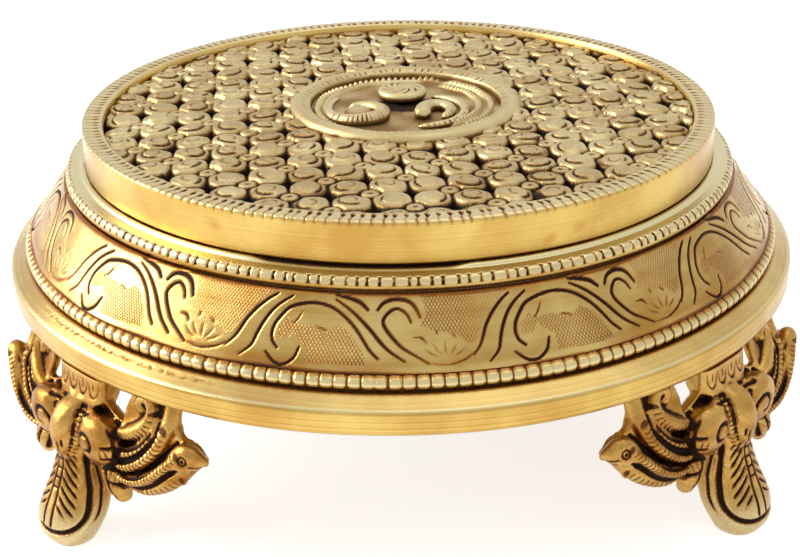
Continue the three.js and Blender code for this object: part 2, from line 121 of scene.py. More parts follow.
def soft_lamp(name, place, size, watts):
    """A square area lamp at a place, aimed at the table's middle."""
    lamp = bpy.data.lights.new(name, "AREA")
    lamp.size = size
    lamp.energy = watts
    holder = bpy.data.objects.new(name, lamp)
    holder.location = place
    holder.rotation_euler = (Vector((0, 0, 0.05)) - Vector(place)).to_track_quat("-Z", "Y").to_euler()
    bpy.context.scene.collection.objects.link(holder)


soft_lamp("left lamp", (-1.05, 0.1, 0.6), 0.8, 15)
soft_lamp("top lamp", (0.2, 0.2, 1.3), 0.9, 2)

# Drum ring: turned brass, cast and then faced on a lathe. The flat rim is punched by hand with
# short radial strokes, each with a dot at its inner end; the upright band below it is plain.
# From here on lengths are in millimetres, unless a comment says otherwise.
rim_radius = 79.0
stroke_count, stroke_depth, dot_depth, nick_depth = 212, 0.32, 0.55, 0.22
seed = 7  # each piece draws from a generator of its own, counted up from this


def surface(name, points, faces, material, **layers):
    """A smooth mesh from points in millimetres and faces, on the root body. Its layers are attributes
    from 0 to 1 on the points: patina, where soil lies and where shade is painted, pale, where a
    pale sheen is painted, and hatch, where fine cuts cross."""
    mesh = bpy.data.meshes.new(name)
    mesh.vertices.add(len(points))
    mesh.vertices.foreach_set("co", (np.asarray(points) * 0.001).astype(np.float32).ravel())
    mesh.loops.add(faces.size)
    mesh.loops.foreach_set("vertex_index", faces.astype(np.int32).ravel())
    mesh.polygons.add(len(faces))
    mesh.polygons.foreach_set("loop_start", np.arange(0, faces.size, faces.shape[1], dtype=np.int32))
    mesh.update(calc_edges=True)
    for layer, values in layers.items():
        mesh.attributes.new(layer, "FLOAT", "POINT").data.foreach_set(
            "value", np.clip(values + np.zeros(len(points)), 0, 1).astype(np.float32).ravel())
    mesh.polygons.foreach_set("use_smooth", np.ones(len(faces), bool))
    mesh.materials.append(material)
    made = bpy.data.objects.new(name, mesh)
    bpy.context.scene.collection.objects.link(made)
    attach(made, "root")
    return made


def circle(count, start=0):
    """A row of equal steps of angle round a full circle."""
    return np.linspace(start, start + 2 * math.pi, count, endpoint=False)[None, :]


def grid_faces(rows, columns, closed=False):
    """Four-cornered faces between the rows of a grid of points. Each row is a ring; closed joins the last
    row to the first as well."""
    i, j = np.arange(rows if closed else rows - 1)[:, None], np.arange(columns)[None, :]
    after, beside = (i + 1) % rows, (j + 1) % columns
    return np.stack([i * columns + j, i * columns + beside, after * columns + beside, after * columns + j],
                    -1).reshape(-1, 4)


def divided(corners):
    """A closed profile of corners, each a radius, a height and the count of equal steps to the next."""
    loop = list(corners) + [corners[0]]
    return np.concatenate([np.linspace(a[:2], b[:2], a[2], endpoint=False) for a, b in zip(loop, loop[1:])])


def turned(name, profile, columns, material, worked, middle=(0, 0), upright=False):
    """A closed anticlockwise profile (radius r, height z) turned round a middle. With n the profile's
    outward normal and d the depth that worked(r, z, angle) gives:
    x = (r - d n_r) sin a, y = -(r - d n_r) cos a, z = z - d n_z; upright takes n as straight up.
    The angle a is counted from the front, -Y, towards +X."""
    run = np.roll(profile, -1, 0) - np.roll(profile, 1, 0)
    run = run / np.maximum(np.linalg.norm(run, axis=1, keepdims=True), 1e-9)
    radius, height = profile[:, :1], profile[:, 1:]
    angle = circle(columns, -math.pi)
    depth, layers = worked(radius, height, angle)
    out = radius - (0 if upright else depth * run[:, 1:])
    up = height + depth * (-1 if upright else run[:, :1])
    whole = np.zeros((len(profile), columns))
    points = np.stack([middle[0] + out * np.sin(angle), middle[1] - out * np.cos(angle), up + whole], -1)
    return surface(name, points.reshape(-1, 3), grid_faces(*whole.shape, closed=True), material,
                   **{layer: (values + whole).ravel() for layer, values in layers.items()})


def smooth_step(value, low, high):
    """0 below low, 1 above high and 3t^2 - 2t^3 between."""
    t = np.clip((value - low) / (high - low), 0, 1)
    return t * t * (3 - 2 * t)


def fade(value, low, high):
    """1 below low and 0 above high: smooth_step the other way up."""
    return 1 - smooth_step(value, low, high)


def ripple(angle, counts, source):
    """A smooth closed wave round the circle, mostly between -1 and 1: for each count n a cosine of n
    times the angle with a random phase, and their sum divided by the root of how many there are."""
    return sum(np.cos(n * angle + source.uniform(0, 2 * math.pi)) for n in counts) / math.sqrt(len(counts))


def marks(angle, count, source, wander=0.16):
    """Tool marks round a circle, one in each of count equal sectors, off its middle by a random share of
    up to wander. Gives how far each angle is from its sector's mark, as an angle, and the mark's number."""
    shift = source.uniform(-wander, wander, count)
    place = (angle + math.pi) / (2 * math.pi) * count
    number = np.floor(place).astype(int) % count
    return (np.mod(place, 1) - 0.5 - shift[number]) * (2 * math.pi / count), number


# The tint of a pale painted sheen, mixed in by the pale layer
sheen_tint = "#d3c697"
cuts_round, cuts_up = 720, 6000  # radians of the sine for a radian round the table and a metre of height
drift_size, bump_depth, cut_bump = 0.02, 0.0002, 0.35  # metres, metres and a share


def worn_metal(name, bright, warm, tarnish_and_shade, stain_and_shade, roughness, line_pitch, grain_pitch, bump):
    """Metal with stained hollows and painted shade. The clean colour drifts between bright and warm over
    20 mm, and the pale layer mixes in the sheen tint, a painted sheen. The patina layer holds
    soil and painted shade: where it is low it tarnishes the metal, and the same colour paints light shade;
    where it is high it mixes in a dark colour, which stands for soil and for deep painted shade, is hardly
    metal, is rough and shines little. Lines of a pitch in millimetres follow height plus radius, as a lathe
    leaves them, and a grain covers all; real ones are too fine to show, so both are drawn coarser. Where
    the hatch layer is 1, two sets of fine cuts cross, where sin(720 a + 6000 z) or sin(720 a - 6000 z) is
    near 1 for an angle a round the table and a height z in metres, so each set's cuts are 0.8 mm apart
    round the band."""
    made = bpy.data.materials.new(name)
    made.use_nodes = True
    tree = made.node_tree
    tree.nodes.clear()
    # Places, noises and layers
    place = add(tree, "ShaderNodeTexCoord").outputs["Object"]
    apart = add(tree, "ShaderNodeSeparateXYZ", {0: place})
    flat = add(tree, "ShaderNodeCombineXYZ", {0: apart, 1: apart.outputs[1]})
    radius = add(tree, "ShaderNodeVectorMath", {0: flat}, operation="LENGTH")
    rise = add(tree, "ShaderNodeMath", {0: radius.outputs["Value"], 1: apart.outputs[2]}, operation="ADD")
    drift = add(tree, "ShaderNodeTexNoise", {
        "Vector": place, "Scale": 1 / drift_size, "Detail": 3, "Roughness": 0.6})
    fine = add(tree, "ShaderNodeTexNoise", {"Vector": place, "Scale": 1000 / grain_pitch, "Detail": 4})
    lines = add(tree, "ShaderNodeTexNoise", {"W": rise, "Scale": 1000 / line_pitch, "Detail": 3},
                noise_dimensions="1D")
    patina = add(tree, "ShaderNodeAttribute", attribute_name="patina").outputs["Fac"]
    pale = add(tree, "ShaderNodeAttribute", attribute_name="pale").outputs["Fac"]
    hatch = add(tree, "ShaderNodeAttribute", attribute_name="hatch").outputs["Fac"]
    # Clean colour, with the painted sheen mixed in where the pale layer is high
    streaks = add(tree, "ShaderNodeMath", {0: lines, 1: 0.45, 2: drift}, operation="MULTIPLY_ADD")
    hue = add(tree, "ShaderNodeMapRange", {0: streaks, 1: 0.55, 2: 0.9})
    clean = add(tree, "ShaderNodeMix", {0: hue, 6: linear(bright), 7: linear(warm)}, data_type="RGBA")
    with_sheen = add(tree, "ShaderNodeMix", {0: pale, 6: clean.outputs[2], 7: linear(sheen_tint)},
                  data_type="RGBA")
    # Fine cuts
    around = add(tree, "ShaderNodeMath", {0: apart, 1: apart.outputs[1]}, operation="ARCTAN2")
    strokes = []
    for lean in (cuts_up, -cuts_up):
        level = add(tree, "ShaderNodeMath", {0: apart.outputs[2], 1: lean}, operation="MULTIPLY")
        phase = add(tree, "ShaderNodeMath", {0: around, 1: cuts_round, 2: level}, operation="MULTIPLY_ADD")
        wave = add(tree, "ShaderNodeMath", {0: phase}, operation="SINE")
        strokes.append(add(tree, "ShaderNodeMapRange", {0: wave, 1: 0.3, 2: 1.0}))
    crossed = add(tree, "ShaderNodeMath", {0: strokes[0], 1: strokes[1]}, operation="MAXIMUM")
    cuts = add(tree, "ShaderNodeMath", {0: crossed, 1: hatch}, operation="MULTIPLY")
    # Darkening by soil and by the painted shade that the patina layer holds
    cuts_patina_and_shade = add(tree, "ShaderNodeMath", {0: cuts, 1: 0.45, 2: patina}, operation="MULTIPLY_ADD")
    wear_and_shade = add(tree, "ShaderNodeMath", {0: fine, 1: 0.35, 2: cuts_patina_and_shade}, operation="MULTIPLY_ADD")
    tarnish_and_shade_share = add(tree, "ShaderNodeMapRange", {0: wear_and_shade, 1: 0.22, 2: 0.52})
    stain_and_shade_share = add(tree, "ShaderNodeMapRange", {0: wear_and_shade, 1: 0.4, 2: 0.88})
    tarnished_and_shaded = add(tree, "ShaderNodeMix", {0: tarnish_and_shade_share, 6: with_sheen.outputs[2], 7: linear(tarnish_and_shade)},
                 data_type="RGBA")
    colour = add(tree, "ShaderNodeMix", {0: stain_and_shade_share, 6: tarnished_and_shaded.outputs[2], 7: linear(stain_and_shade)},
                 data_type="RGBA")
    metal = add(tree, "ShaderNodeMapRange", {0: stain_and_shade_share, 3: 1, 4: 0.1})
    gloss = add(tree, "ShaderNodeMapRange", {0: fine, 3: roughness * 0.75, 4: roughness * 1.25})
    rough = add(tree, "ShaderNodeMix", {0: stain_and_shade_share, 2: gloss, 3: 0.75})
    # Relief of the lines, the grain and the cuts
    texture = add(tree, "ShaderNodeMath", {0: lines, 1: fine}, operation="ADD")
    skin = add(tree, "ShaderNodeBump", {"Height": texture, "Strength": bump, "Distance": bump_depth})
    relief = add(tree, "ShaderNodeBump", {"Height": cuts, "Strength": cut_bump, "Distance": bump_depth,
                                          "Normal": skin}, invert=True)
    body = add(tree, "ShaderNodeBsdfPrincipled", {
        "Base Color": colour.outputs[2], "Metallic": metal, "Roughness": rough,
        "Specular IOR Level": 0.2, "Normal": relief})
    add(tree, "ShaderNodeOutputMaterial", {"Surface": body})
    return made


# Turned yellow brass: a broad soft shine with faint level lines, and near-black soil in the strokes.
turned_brass = worn_metal("turned yellow brass", "#d0b164", "#b58c45", "#a86f2a", "#2b1405",
                          0.24, 0.5, 0.25, 0.25)

drum_profile = divided([
    (72.6, 65.6, 2), (75.2, 65.6, 2), (75.2, 68.7, 1), (75.4, 68.8, 3), (78.6, 68.8, 2), (79, 69.2, 3),
    (79, 70.2, 10), (79, 77.9, 3), (78.85, 78.35, 3), (78.4, 78.6, 12), (74.3, 78.6, 3),
    (73.8, 78.1, 4), (73.8, 71.1, 2), (70.8, 71.1, 2), (70.8, 69.1, 2),
])


def punched_rim(radius, height, angle):
    """Depth and layers of the drum: each stroke runs from a dot near the bore to a nick in the outer
    edge. The upright band waves slightly, with blots of dull brown where two waves are high, and has painted
    shade at its foot, where it sits on the shoulder. A pale sheen is painted on the rim's top."""
    source = np.random.default_rng(seed)
    off, number = marks(angle, stroke_count, source)
    weight = source.uniform(0.5, 1, stroke_count)[number] * (0.8 + 0.2 * ripple(angle, (2, 3, 5), source))
    inward = rim_radius - radius
    side = off * radius + 0.22 * np.sin(inward * 1.5)
    on_top = smooth_step(height, 77.2, 78.3) * smooth_step(radius, 73.7, 74.1)
    stroke = fade(np.abs(side), 0.05, 0.45) * fade(inward, 3.3, 3.9)
    dot = fade(np.hypot(side * 1.15, (inward - 3.5) * 0.6), 0.25, 0.75)
    nick = fade(np.abs(side), 0.15, 0.6) * fade(inward, 0.2, 0.9)
    depth = np.maximum(np.maximum(stroke * stroke_depth, dot * dot_depth), nick * nick_depth)
    depth = depth * weight * on_top
    wave = 0.05 * ripple(angle, (3, 7, 12), source) * smooth_step(radius, 78, 79)
    dark = np.maximum(stroke * 0.5, dot * 1.2) * weight * on_top
    level = np.cos(0.8 * height + 2.5 * ripple(angle, (2, 5, 11), source))
    spots = smooth_step(ripple(angle, (7, 15, 26, 41, 67), source), 0.3, 1.6)
    blots = spots * smooth_step(level, 0.1, 1) * (radius > 78.9)
    # Painted shade along the band's foot, where it sits on the shoulder
    foot = fade(height, 68.9, 69.5 + 0.25 * ripple(angle, (9, 23, 61), source)) * (height < 71)
    # The rim's top gets a painted pale sheen
    return depth + wave, {"patina": np.maximum(np.maximum(dark, foot * 0.4), 0.17 * blots),
                          "pale": 0.75 * smooth_step(height, 77.9, 78.5)}


drum = turned("punched_drum", drum_profile, 1480, turned_brass, punched_rim)
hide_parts("drum_ring")

# Skirt: one cast cone of polished brass that stands on the flange. Between two rows of punched
# beads it has a wide band of hand engraving: running scrolls in double lines over hatched ground.
cone_foot, cone_top = (94.1, 51.2), (84.5, 64.5)
cone_length = math.hypot(cone_foot[0] - cone_top[0], cone_top[1] - cone_foot[1])
cone_slope = 0.7218  # millimetres inwards for each millimetre up
scroll_count = 11
scroll_period = 360 / scroll_count
scroll_start = 24.6  # degrees before its middle
degree_length = 1.56  # millimetres, half way up the band
cut_depth = 0.34
bead_count, bead_radius, bead_level, bead_size, bead_dip = 208, 94.1, 49.2, 1.5, 0.38
shoulder_radius, shoulder_level, shoulder_size = 82.3, 66.2, 1.7
punch_count, punch_depth, punch_place, punch_half = 202, 0.42, 1.2, 1.15
seam_lift, open_lift = 0.76, 0.3

# One scroll: lines as degrees round the band and millimetres up it, each with its half width.
scroll_lines = [
    (0.34, [(-23.6, 3.5), (-22.6, 5.4), (-22, 7.4), (-21.5, 9.3), (-20.4, 11.8), (-19, 14), (-17.7, 15.4)]),
    (0.32, [(-21.5, 1.9), (-20.2, 4), (-19.7, 6.5), (-19.1, 9), (-18.2, 11.5), (-17, 13.5), (-15.4, 15.2)]),
    (0.36, [(-16.6, 4), (-17.4, 5.4), (-17.6, 7.1), (-17.4, 9), (-16.6, 11), (-15.6, 12.7), (-14.1, 13.6),
            (-12.5, 14.1), (-10.9, 14.1), (-9.1, 13.4), (-7.5, 11.9), (-6.1, 9.9), (-5, 7.6), (-4, 5.1),
            (-2.9, 3.2)]),
    (0.30, [(-18.1, 3), (-16.8, 1.1), (-15.5, 0.7), (-14.1, 2.2), (-13.5, 4.7)]),
    (0.34, [(-8.8, 15.2), (-7, 13.6), (-5.4, 11.6), (-3.8, 9), (-2.7, 6.8), (-1.6, 4.9), (0.3, 2.6)]),
    (0.46, [(-8.8, 16.2), (-7, 15.7), (-5.4, 14.9), (-4.3, 13.4)]),
    (0.46, [(-3, 13.4), (-2.2, 14.9), (-0.8, 15.6), (0.7, 15.3), (1.7, 14.1), (2.4, 11.8)]),
    (0.34, [(1.2, 10.7), (0.7, 12.4), (-0.2, 13.5), (-1.1, 13.4), (-2, 12.1), (-2.3, 10.7), (-1.8, 9),
            (-0.9, 7.1), (0.1, 5.4), (1.6, 3.8), (3.2, 2.1)]),
    (0.20, [(3.2, 2.1), (5.8, 1.8), (8, 2.8), (9.1, 4)]),
    (0.20, [(1.4, 7.6), (2.4, 7.5), (3, 6.4)]),
    (0.14, [(2.8, 5.2), (3.5, 4.2), (4.5, 3.5)]), (0.14, [(3.8, 6.3), (4.3, 5), (5, 3.9)]),
    (0.14, [(5.4, 6.7), (5.4, 5.3), (5.5, 4.1)]), (0.14, [(7, 6.2), (6.6, 5.1), (6.1, 4)]),
    (0.14, [(8.1, 5), (7.4, 4.3), (6.6, 3.7)]), (0.18, [(4.4, 9), (4.5, 8.2)]),
    (0.18, [(6.4, 8.2), (6.9, 7.5)]),
    (0.14, [(-14.8, 9.4), (-14.2, 10.4), (-13.6, 12.2)]), (0.14, [(-11.4, 9.3), (-9.8, 8.6)]),
]


def eased(rows, steps):
    """More rows between the given ones, on the cubic through them: with t from 0 to 1 between p1 and p2,
    (2 p1 + (p2 - p0) t + (2 p0 - 5 p1 + 4 p2 - p3) t^2 + (3 p1 - p0 - 3 p2 + p3) t^3) / 2."""
    rows = np.asarray(rows, float)
    ends = np.concatenate([2 * rows[:1] - rows[1:2], rows, 2 * rows[-1:] - rows[-2:-1]])
    t = np.linspace(0, 1, steps, endpoint=False)[None, :, None]
    p0, p1, p2, p3 = (ends[k:len(rows) - 1 + k, None, :] for k in range(4))
    runs = (2 * p1 + (p2 - p0) * t + (2 * p0 - 5 * p1 + 4 * p2 - p3) * t ** 2
            + (3 * p1 - p0 - 3 * p2 + p3) * t ** 3) / 2
    return np.concatenate([runs.reshape(-1, rows.shape[1]), rows[-1:]])


def to_run(start, end, x, y):
    """How far along the straight run from start to end each point's nearest place is, from 0 to 1, and the
    point's distance to it."""
    (a, b), (c, d) = start, end
    share = np.clip(((x - a) * (c - a) + (y - b) * (d - b)) / ((c - a) ** 2 + (d - b) ** 2), 0, 1)
    return share, np.hypot(x - a - share * (c - a), y - b - share * (d - b))


def line_work(lines, along, up):
    """How deep a point lies in a set of cut lines, 0 to 1: its distance to the nearest part of a line
    against the half width there, which swells to the middle of the line as a graver's stroke does."""
    along, up = np.broadcast_arrays(along, up)
    depth = np.zeros(along.shape)
    for half, path in lines:
        path = eased(path, 4)
        (low_x, low_y), (high_x, high_y) = path.min(0) - 1.2, path.max(0) + 1.2
        near = (along > low_x) & (along < high_x) & (up > low_y) & (up < high_y)
        x, y = along[near], up[near]
        best = np.zeros(x.shape)
        swell = half * (0.5 + 0.5 * np.sin(np.linspace(0.15, math.pi - 0.15, len(path))))
        for start, end, wide in zip(path, path[1:], swell):
            gap = to_run(start, end, x, y)[1]
            best = np.maximum(best, fade(gap, wide * 0.45, wide + 0.2) * min(1, wide / 0.22))
        depth[near] = np.maximum(depth[near], best)
    return depth


# Ground that is hatched, as outlines of degrees and millimetres: beside each scroll and under its arch.
hatched_ground = [
    [(2.6, 16.2), (3.2, 12.5), (2.2, 10), (4, 9), (7, 8), (8.6, 5.8), (9.6, 6.4), (10.4, 8.6), (11.4, 11),
     (13, 13.6), (14.8, 16.2)],
    [(-14.6, 9.3), (-12.5, 9.6), (-9.8, 8.2), (-8.2, 10.2), (-6.6, 8.6), (-5.7, 6.5), (-4.7, 4.2), (-4.5, 2),
     (-8, 1.6), (-12.6, 1.6), (-12.6, 5), (-14.4, 7.5)],
    [(-16.8, 6.2), (-15, 6.6), (-14.4, 9.6), (-15.6, 10.6), (-16.8, 8.6)],
]


def within(outline, along, up):
    """Whether points lie inside an outline: a level ray from an inside point crosses it an odd number
    of times."""
    inside = np.zeros(np.broadcast(along, up).shape, bool)
    for (a, b), (c, d) in zip(outline, outline[1:] + outline[:1]):
        if b != d:
            inside ^= ((b > up) != (d > up)) & (along < (c - a) * (up - b) / (d - b) + a)
    return inside


def engraved_band(radius, height, angle):
    """Depth and layers of the scrolls and their hatched ground. A point's place in its own repeat is its
    angle less whole periods; a slow wander of both places makes each scroll a little different, as
    handwork is. Shade is painted along the band's bottom and top edges, and a warm reflection of the
    beads is painted in patches low on the band."""
    source = np.random.default_rng(seed + 1)
    outside = smooth_step(radius - (cone_foot[0] - (height - cone_foot[1]) * cone_slope), -1.2, -0.4)
    up = (height - cone_foot[1]) / (cone_top[1] - cone_foot[1]) * cone_length
    degrees = np.degrees(angle) + 0.35 * ripple(angle, (4, 7, 17), source)
    up = up + 0.22 * ripple(angle, (5, 13, 19), source)
    local = np.mod(degrees + scroll_start, scroll_period) - scroll_start
    lines = [(1.1 * half, [((x + turn * scroll_period) * degree_length, y) for x, y in path])
             for turn in (-1, 0, 1) for half, path in scroll_lines]
    cut = line_work(lines, local * degree_length, up)
    worn = 0.8 + 0.2 * ripple(angle, (6, 11, 23), source)
    # Painted shade along the band's bottom and top edges
    edges = np.maximum(fade(up, 0.0, 0.7), smooth_step(up, cone_length - 0.5, cone_length - 0.05))
    # A painted warm reflection of the beads below, in patches
    warm_reflection = 0.3 * fade(up, 0.3, 4.2) * smooth_step(ripple(angle, (2, 5, 9, 21), source), -0.8, 1.0)
    hatch = np.zeros(cut.shape, bool)
    for turn in (-scroll_period, 0, scroll_period):
        for outline in hatched_ground:
            hatch |= within([(x + turn, y) for x, y in outline], local, up)
    patchy = 0.75 + 0.25 * ripple(angle, (9, 16, 31), source)
    return cut_depth * cut * worn * outside, {
        "patina": np.maximum(cut * worn, 0.4 * edges + warm_reflection) * outside, "hatch": hatch * outside * patchy}


# Polished brass, worn by hands: pale where a sheen is painted, warm low on the band where a reflection is
# painted, brown-black in each cut.
polished_brass = worn_metal("polished yellow brass", "#c8ae6e", "#a5803f", "#a0652a", "#2b1405",
                            0.26, 0.8, 0.3, 0.2)

cone_profile = divided([(91.7, 51.2, 1), (*cone_foot, 50), (*cone_top, 1), (82.1, 64.5, 2)])
band = turned("engraved_band", cone_profile, 1680, polished_brass, engraved_band)
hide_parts("skirt")


def half_round(radius, height, size, start, end, steps):
    """Points of a bead's section: a circle's arc of that size, from start to end in degrees, where 0 is
    straight out."""
    turn = np.radians(np.linspace(start, end, steps + 1))
    return [(radius + size * math.cos(t), height + size * math.sin(t)) for t in turn]


def lower_beads(radius, height, angle):
    """Depth and layers of a row of pearls: each dips towards its neighbours by a power of the distance from
    its middle, with thin soil between them, warm painted shade in the corners above and below, and a
    painted pale sheen round their crowns."""
    source = np.random.default_rng(seed + 2)
    off, number = marks(angle, bead_count, source, 0.08)
    side = np.abs(off) / (math.pi / bead_count)
    on_beads = np.hypot(radius - bead_radius, height - bead_level) > 1.3
    gap = smooth_step(side, 0.35, 1.0)
    size = source.uniform(0.75, 1.1, bead_count)[number]
    # Painted warm shade in the corners above and below the beads
    corners = smooth_step(np.abs(height - 49.3), 1.15, 1.5)
    soil = np.maximum(smooth_step(side, 0.78, 1.0) * 0.6, 0.35 * corners)
    # A painted pale sheen round the beads' crowns
    return on_beads * (bead_dip * gap ** 2.2 * size), {
        "patina": on_beads * soil, "pale": 0.7 * fade(np.abs(height - 49.4), 0.7, 1.3) * on_beads}


bead_profile = np.array(half_round(bead_radius, bead_level, bead_size, -80, 75, 14) + [
    (94, 51.15), (91.7, 51.15), (91.7, 47.75)])
beads = turned("lower_beads", bead_profile, 1664, polished_brass, lower_beads)
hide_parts("skirt")


def hourglass_punches(radius, height, angle):
    """Depth and layers of the shoulder bead. A row of small punches runs 1.2 mm up its arc: each is
    narrow at its middle and widens up and down. Under the drum the metal is raised to close the seam,
    but for a stretch from -22 to 8 degrees, where the joint stands open and is painted dark as shade;
    elsewhere under the drum the painted shade is lighter and patchy. The bead's root has painted shade,
    and the upper arc and the ledge under the drum a painted pale sheen."""
    source = np.random.default_rng(seed + 3)
    off, number = marks(angle, punch_count, source, 0.2)
    arc = shoulder_size * np.arctan2(height - shoulder_level, radius - shoulder_radius)
    rise = (arc - punch_place) / punch_half
    on_bead = (radius > 81.6) * (height > 65.5)
    half = 0.08 + 0.3 * np.abs(rise)
    inside = fade(np.abs(off * radius), half * 0.5, half + 0.22)
    hollow = inside * fade(np.abs(rise), 0.8, 1.15) * on_bead
    hollow = hollow * np.where(rise < 0, 1, 0.75) * source.uniform(0.45, 1, punch_count)[number]
    # Painted shade at the bead's root
    root = fade(height, 64.6, 65.0 + 0.15 * ripple(angle, (21, 37, 83), source)) * (radius > 80)
    degrees = np.degrees(angle) + ripple(angle, (13, 29), source)
    opened = smooth_step(degrees, -23, -20) * fade(degrees, 6, 10)
    under_drum = smooth_step(80.3 - radius, -0.2, 0.4) * (height > 67)
    deep_in = smooth_step(79.6 - radius, 0.0, 0.4) * (height > 67)
    # Painted shade in the gap under the drum: dark where the joint is open, patchy elsewhere
    dark = opened + 0.25 * smooth_step(ripple(angle, (5, 11, 31, 67), source), -0.2, 1.2) * (1 - opened)
    # A painted pale sheen on the upper arc and on the ledge under the drum
    pale = (0.7 + 0.3 * smooth_step(arc, 1.6, 2.2)) * smooth_step(arc, 0.0, 0.5) * (radius > 79)
    return punch_depth * hollow - (seam_lift - (seam_lift - open_lift) * opened) * under_drum, {
        "patina": np.maximum(np.maximum(hollow, 0.32 * root), 0.95 * dark * deep_in), "pale": pale}


shoulder_profile = np.array(half_round(shoulder_radius, shoulder_level, shoulder_size, -50, 92, 22) + [
    (81.6, 67.93), (81, 67.97), (80.6, 68), (80.3, 68), (80, 68), (79.6, 68.02), (79.2, 68.02),
    (78.3, 68), (77.8, 68.1), (77.8, 68.5), (75.5, 68.5), (75.5, 65.7), (77.5, 64.7), (82.6, 64.55)])
shoulder = turned("shoulder_bead", shoulder_profile, 1600, polished_brass, hourglass_punches)
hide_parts("skirt")

# Base ring: a thick flange of cast and turned brass with a sloping shoulder. It is left as the
# lathe tool cut it, so the slope shows fine rings and, at the front left, a streak of chatter.
chatter_radius, chatter_depth = 96.9, 0.1
flange_profile = divided([
    (82, 45.1, 2), (82, 39.8, 4), (99.3, 39.8, 2), (99.7, 40.2, 8), (99.7, 44.6, 3), (99.45, 45.15, 10),
    (95.5, 47.35, 2), (95.2, 47.4, 3), (91.4, 47.4, 2), (91.4, 45.1, 3)])


def flange_work(radius, height, angle):
    """Depth and layers: slight waves of the edge, a streak of fine chatter marks round the slope from
    -58 to -25 degrees, where the lathe tool jumped, a painted pale sheen on the slope, strongest on the
    lip, and painted shade in the corner under the beads."""
    source = np.random.default_rng(seed + 4)
    slope = smooth_step(radius, 95.4, 95.8) * smooth_step(height, 44.9, 45.4)
    streak = smooth_step(angle, -1.12, -0.9) * fade(angle, -0.5, -0.36)
    streak = streak * fade(np.abs(radius - chatter_radius), 0.15, 0.55) * slope
    specks = smooth_step(source.random(np.broadcast(radius, angle).shape), 0.45, 0.9) * streak
    wave = 0.06 * ripple(angle, (3, 5, 11), source) * (radius > 90)
    # Painted shade in the corner under the beads
    corner = fade(radius, 95.5, 96.1) * (height > 47) * (radius > 93)
    # A painted pale sheen on the slope, strongest on the lip
    lip = fade(np.abs(radius - 99.2), 0.2, 0.5)
    return wave + chatter_depth * specks, {
        "patina": np.maximum(corner * 0.3, 0.5 * specks), "pale": (0.2 + 0.65 * lip) * slope}


base = turned("turned_flange", flange_profile, 1400, turned_brass, flange_work)
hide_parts("base_ring")

# Lattice plate: one casting of pale brass, whose petals lie bead to bead on a square grid with
# deep diamonds between them, painted dark as shadow. Each petal has a raised oval with a cut
# crescent, and each bead a dimple, made with punches after casting.
pitch, lattice_turn, lattice_shift = 8.85, math.radians(5), (0.3, -0.58)
bead_reach, side_gap, void_half = 2.6, 0.2, 0.745  # millimetres, millimetres and a share of a square
crown_level, wall_depth, plate_under = 77.3, 1.9, 71.4
seat_edge, ring_join, plate_edge = 27, 52, 73.5

# The bore is round about the medallion and the edge about the table: the rings between them shift evenly.
medallion_middle = (1.9, 3.7)


def lattice_middle(radius):
    """How far a ring of the lattice lies off the table's middle, to the right and to the back."""
    share = (plate_edge - radius) / (plate_edge - seat_edge)
    return medallion_middle[0] * share, medallion_middle[1] * share


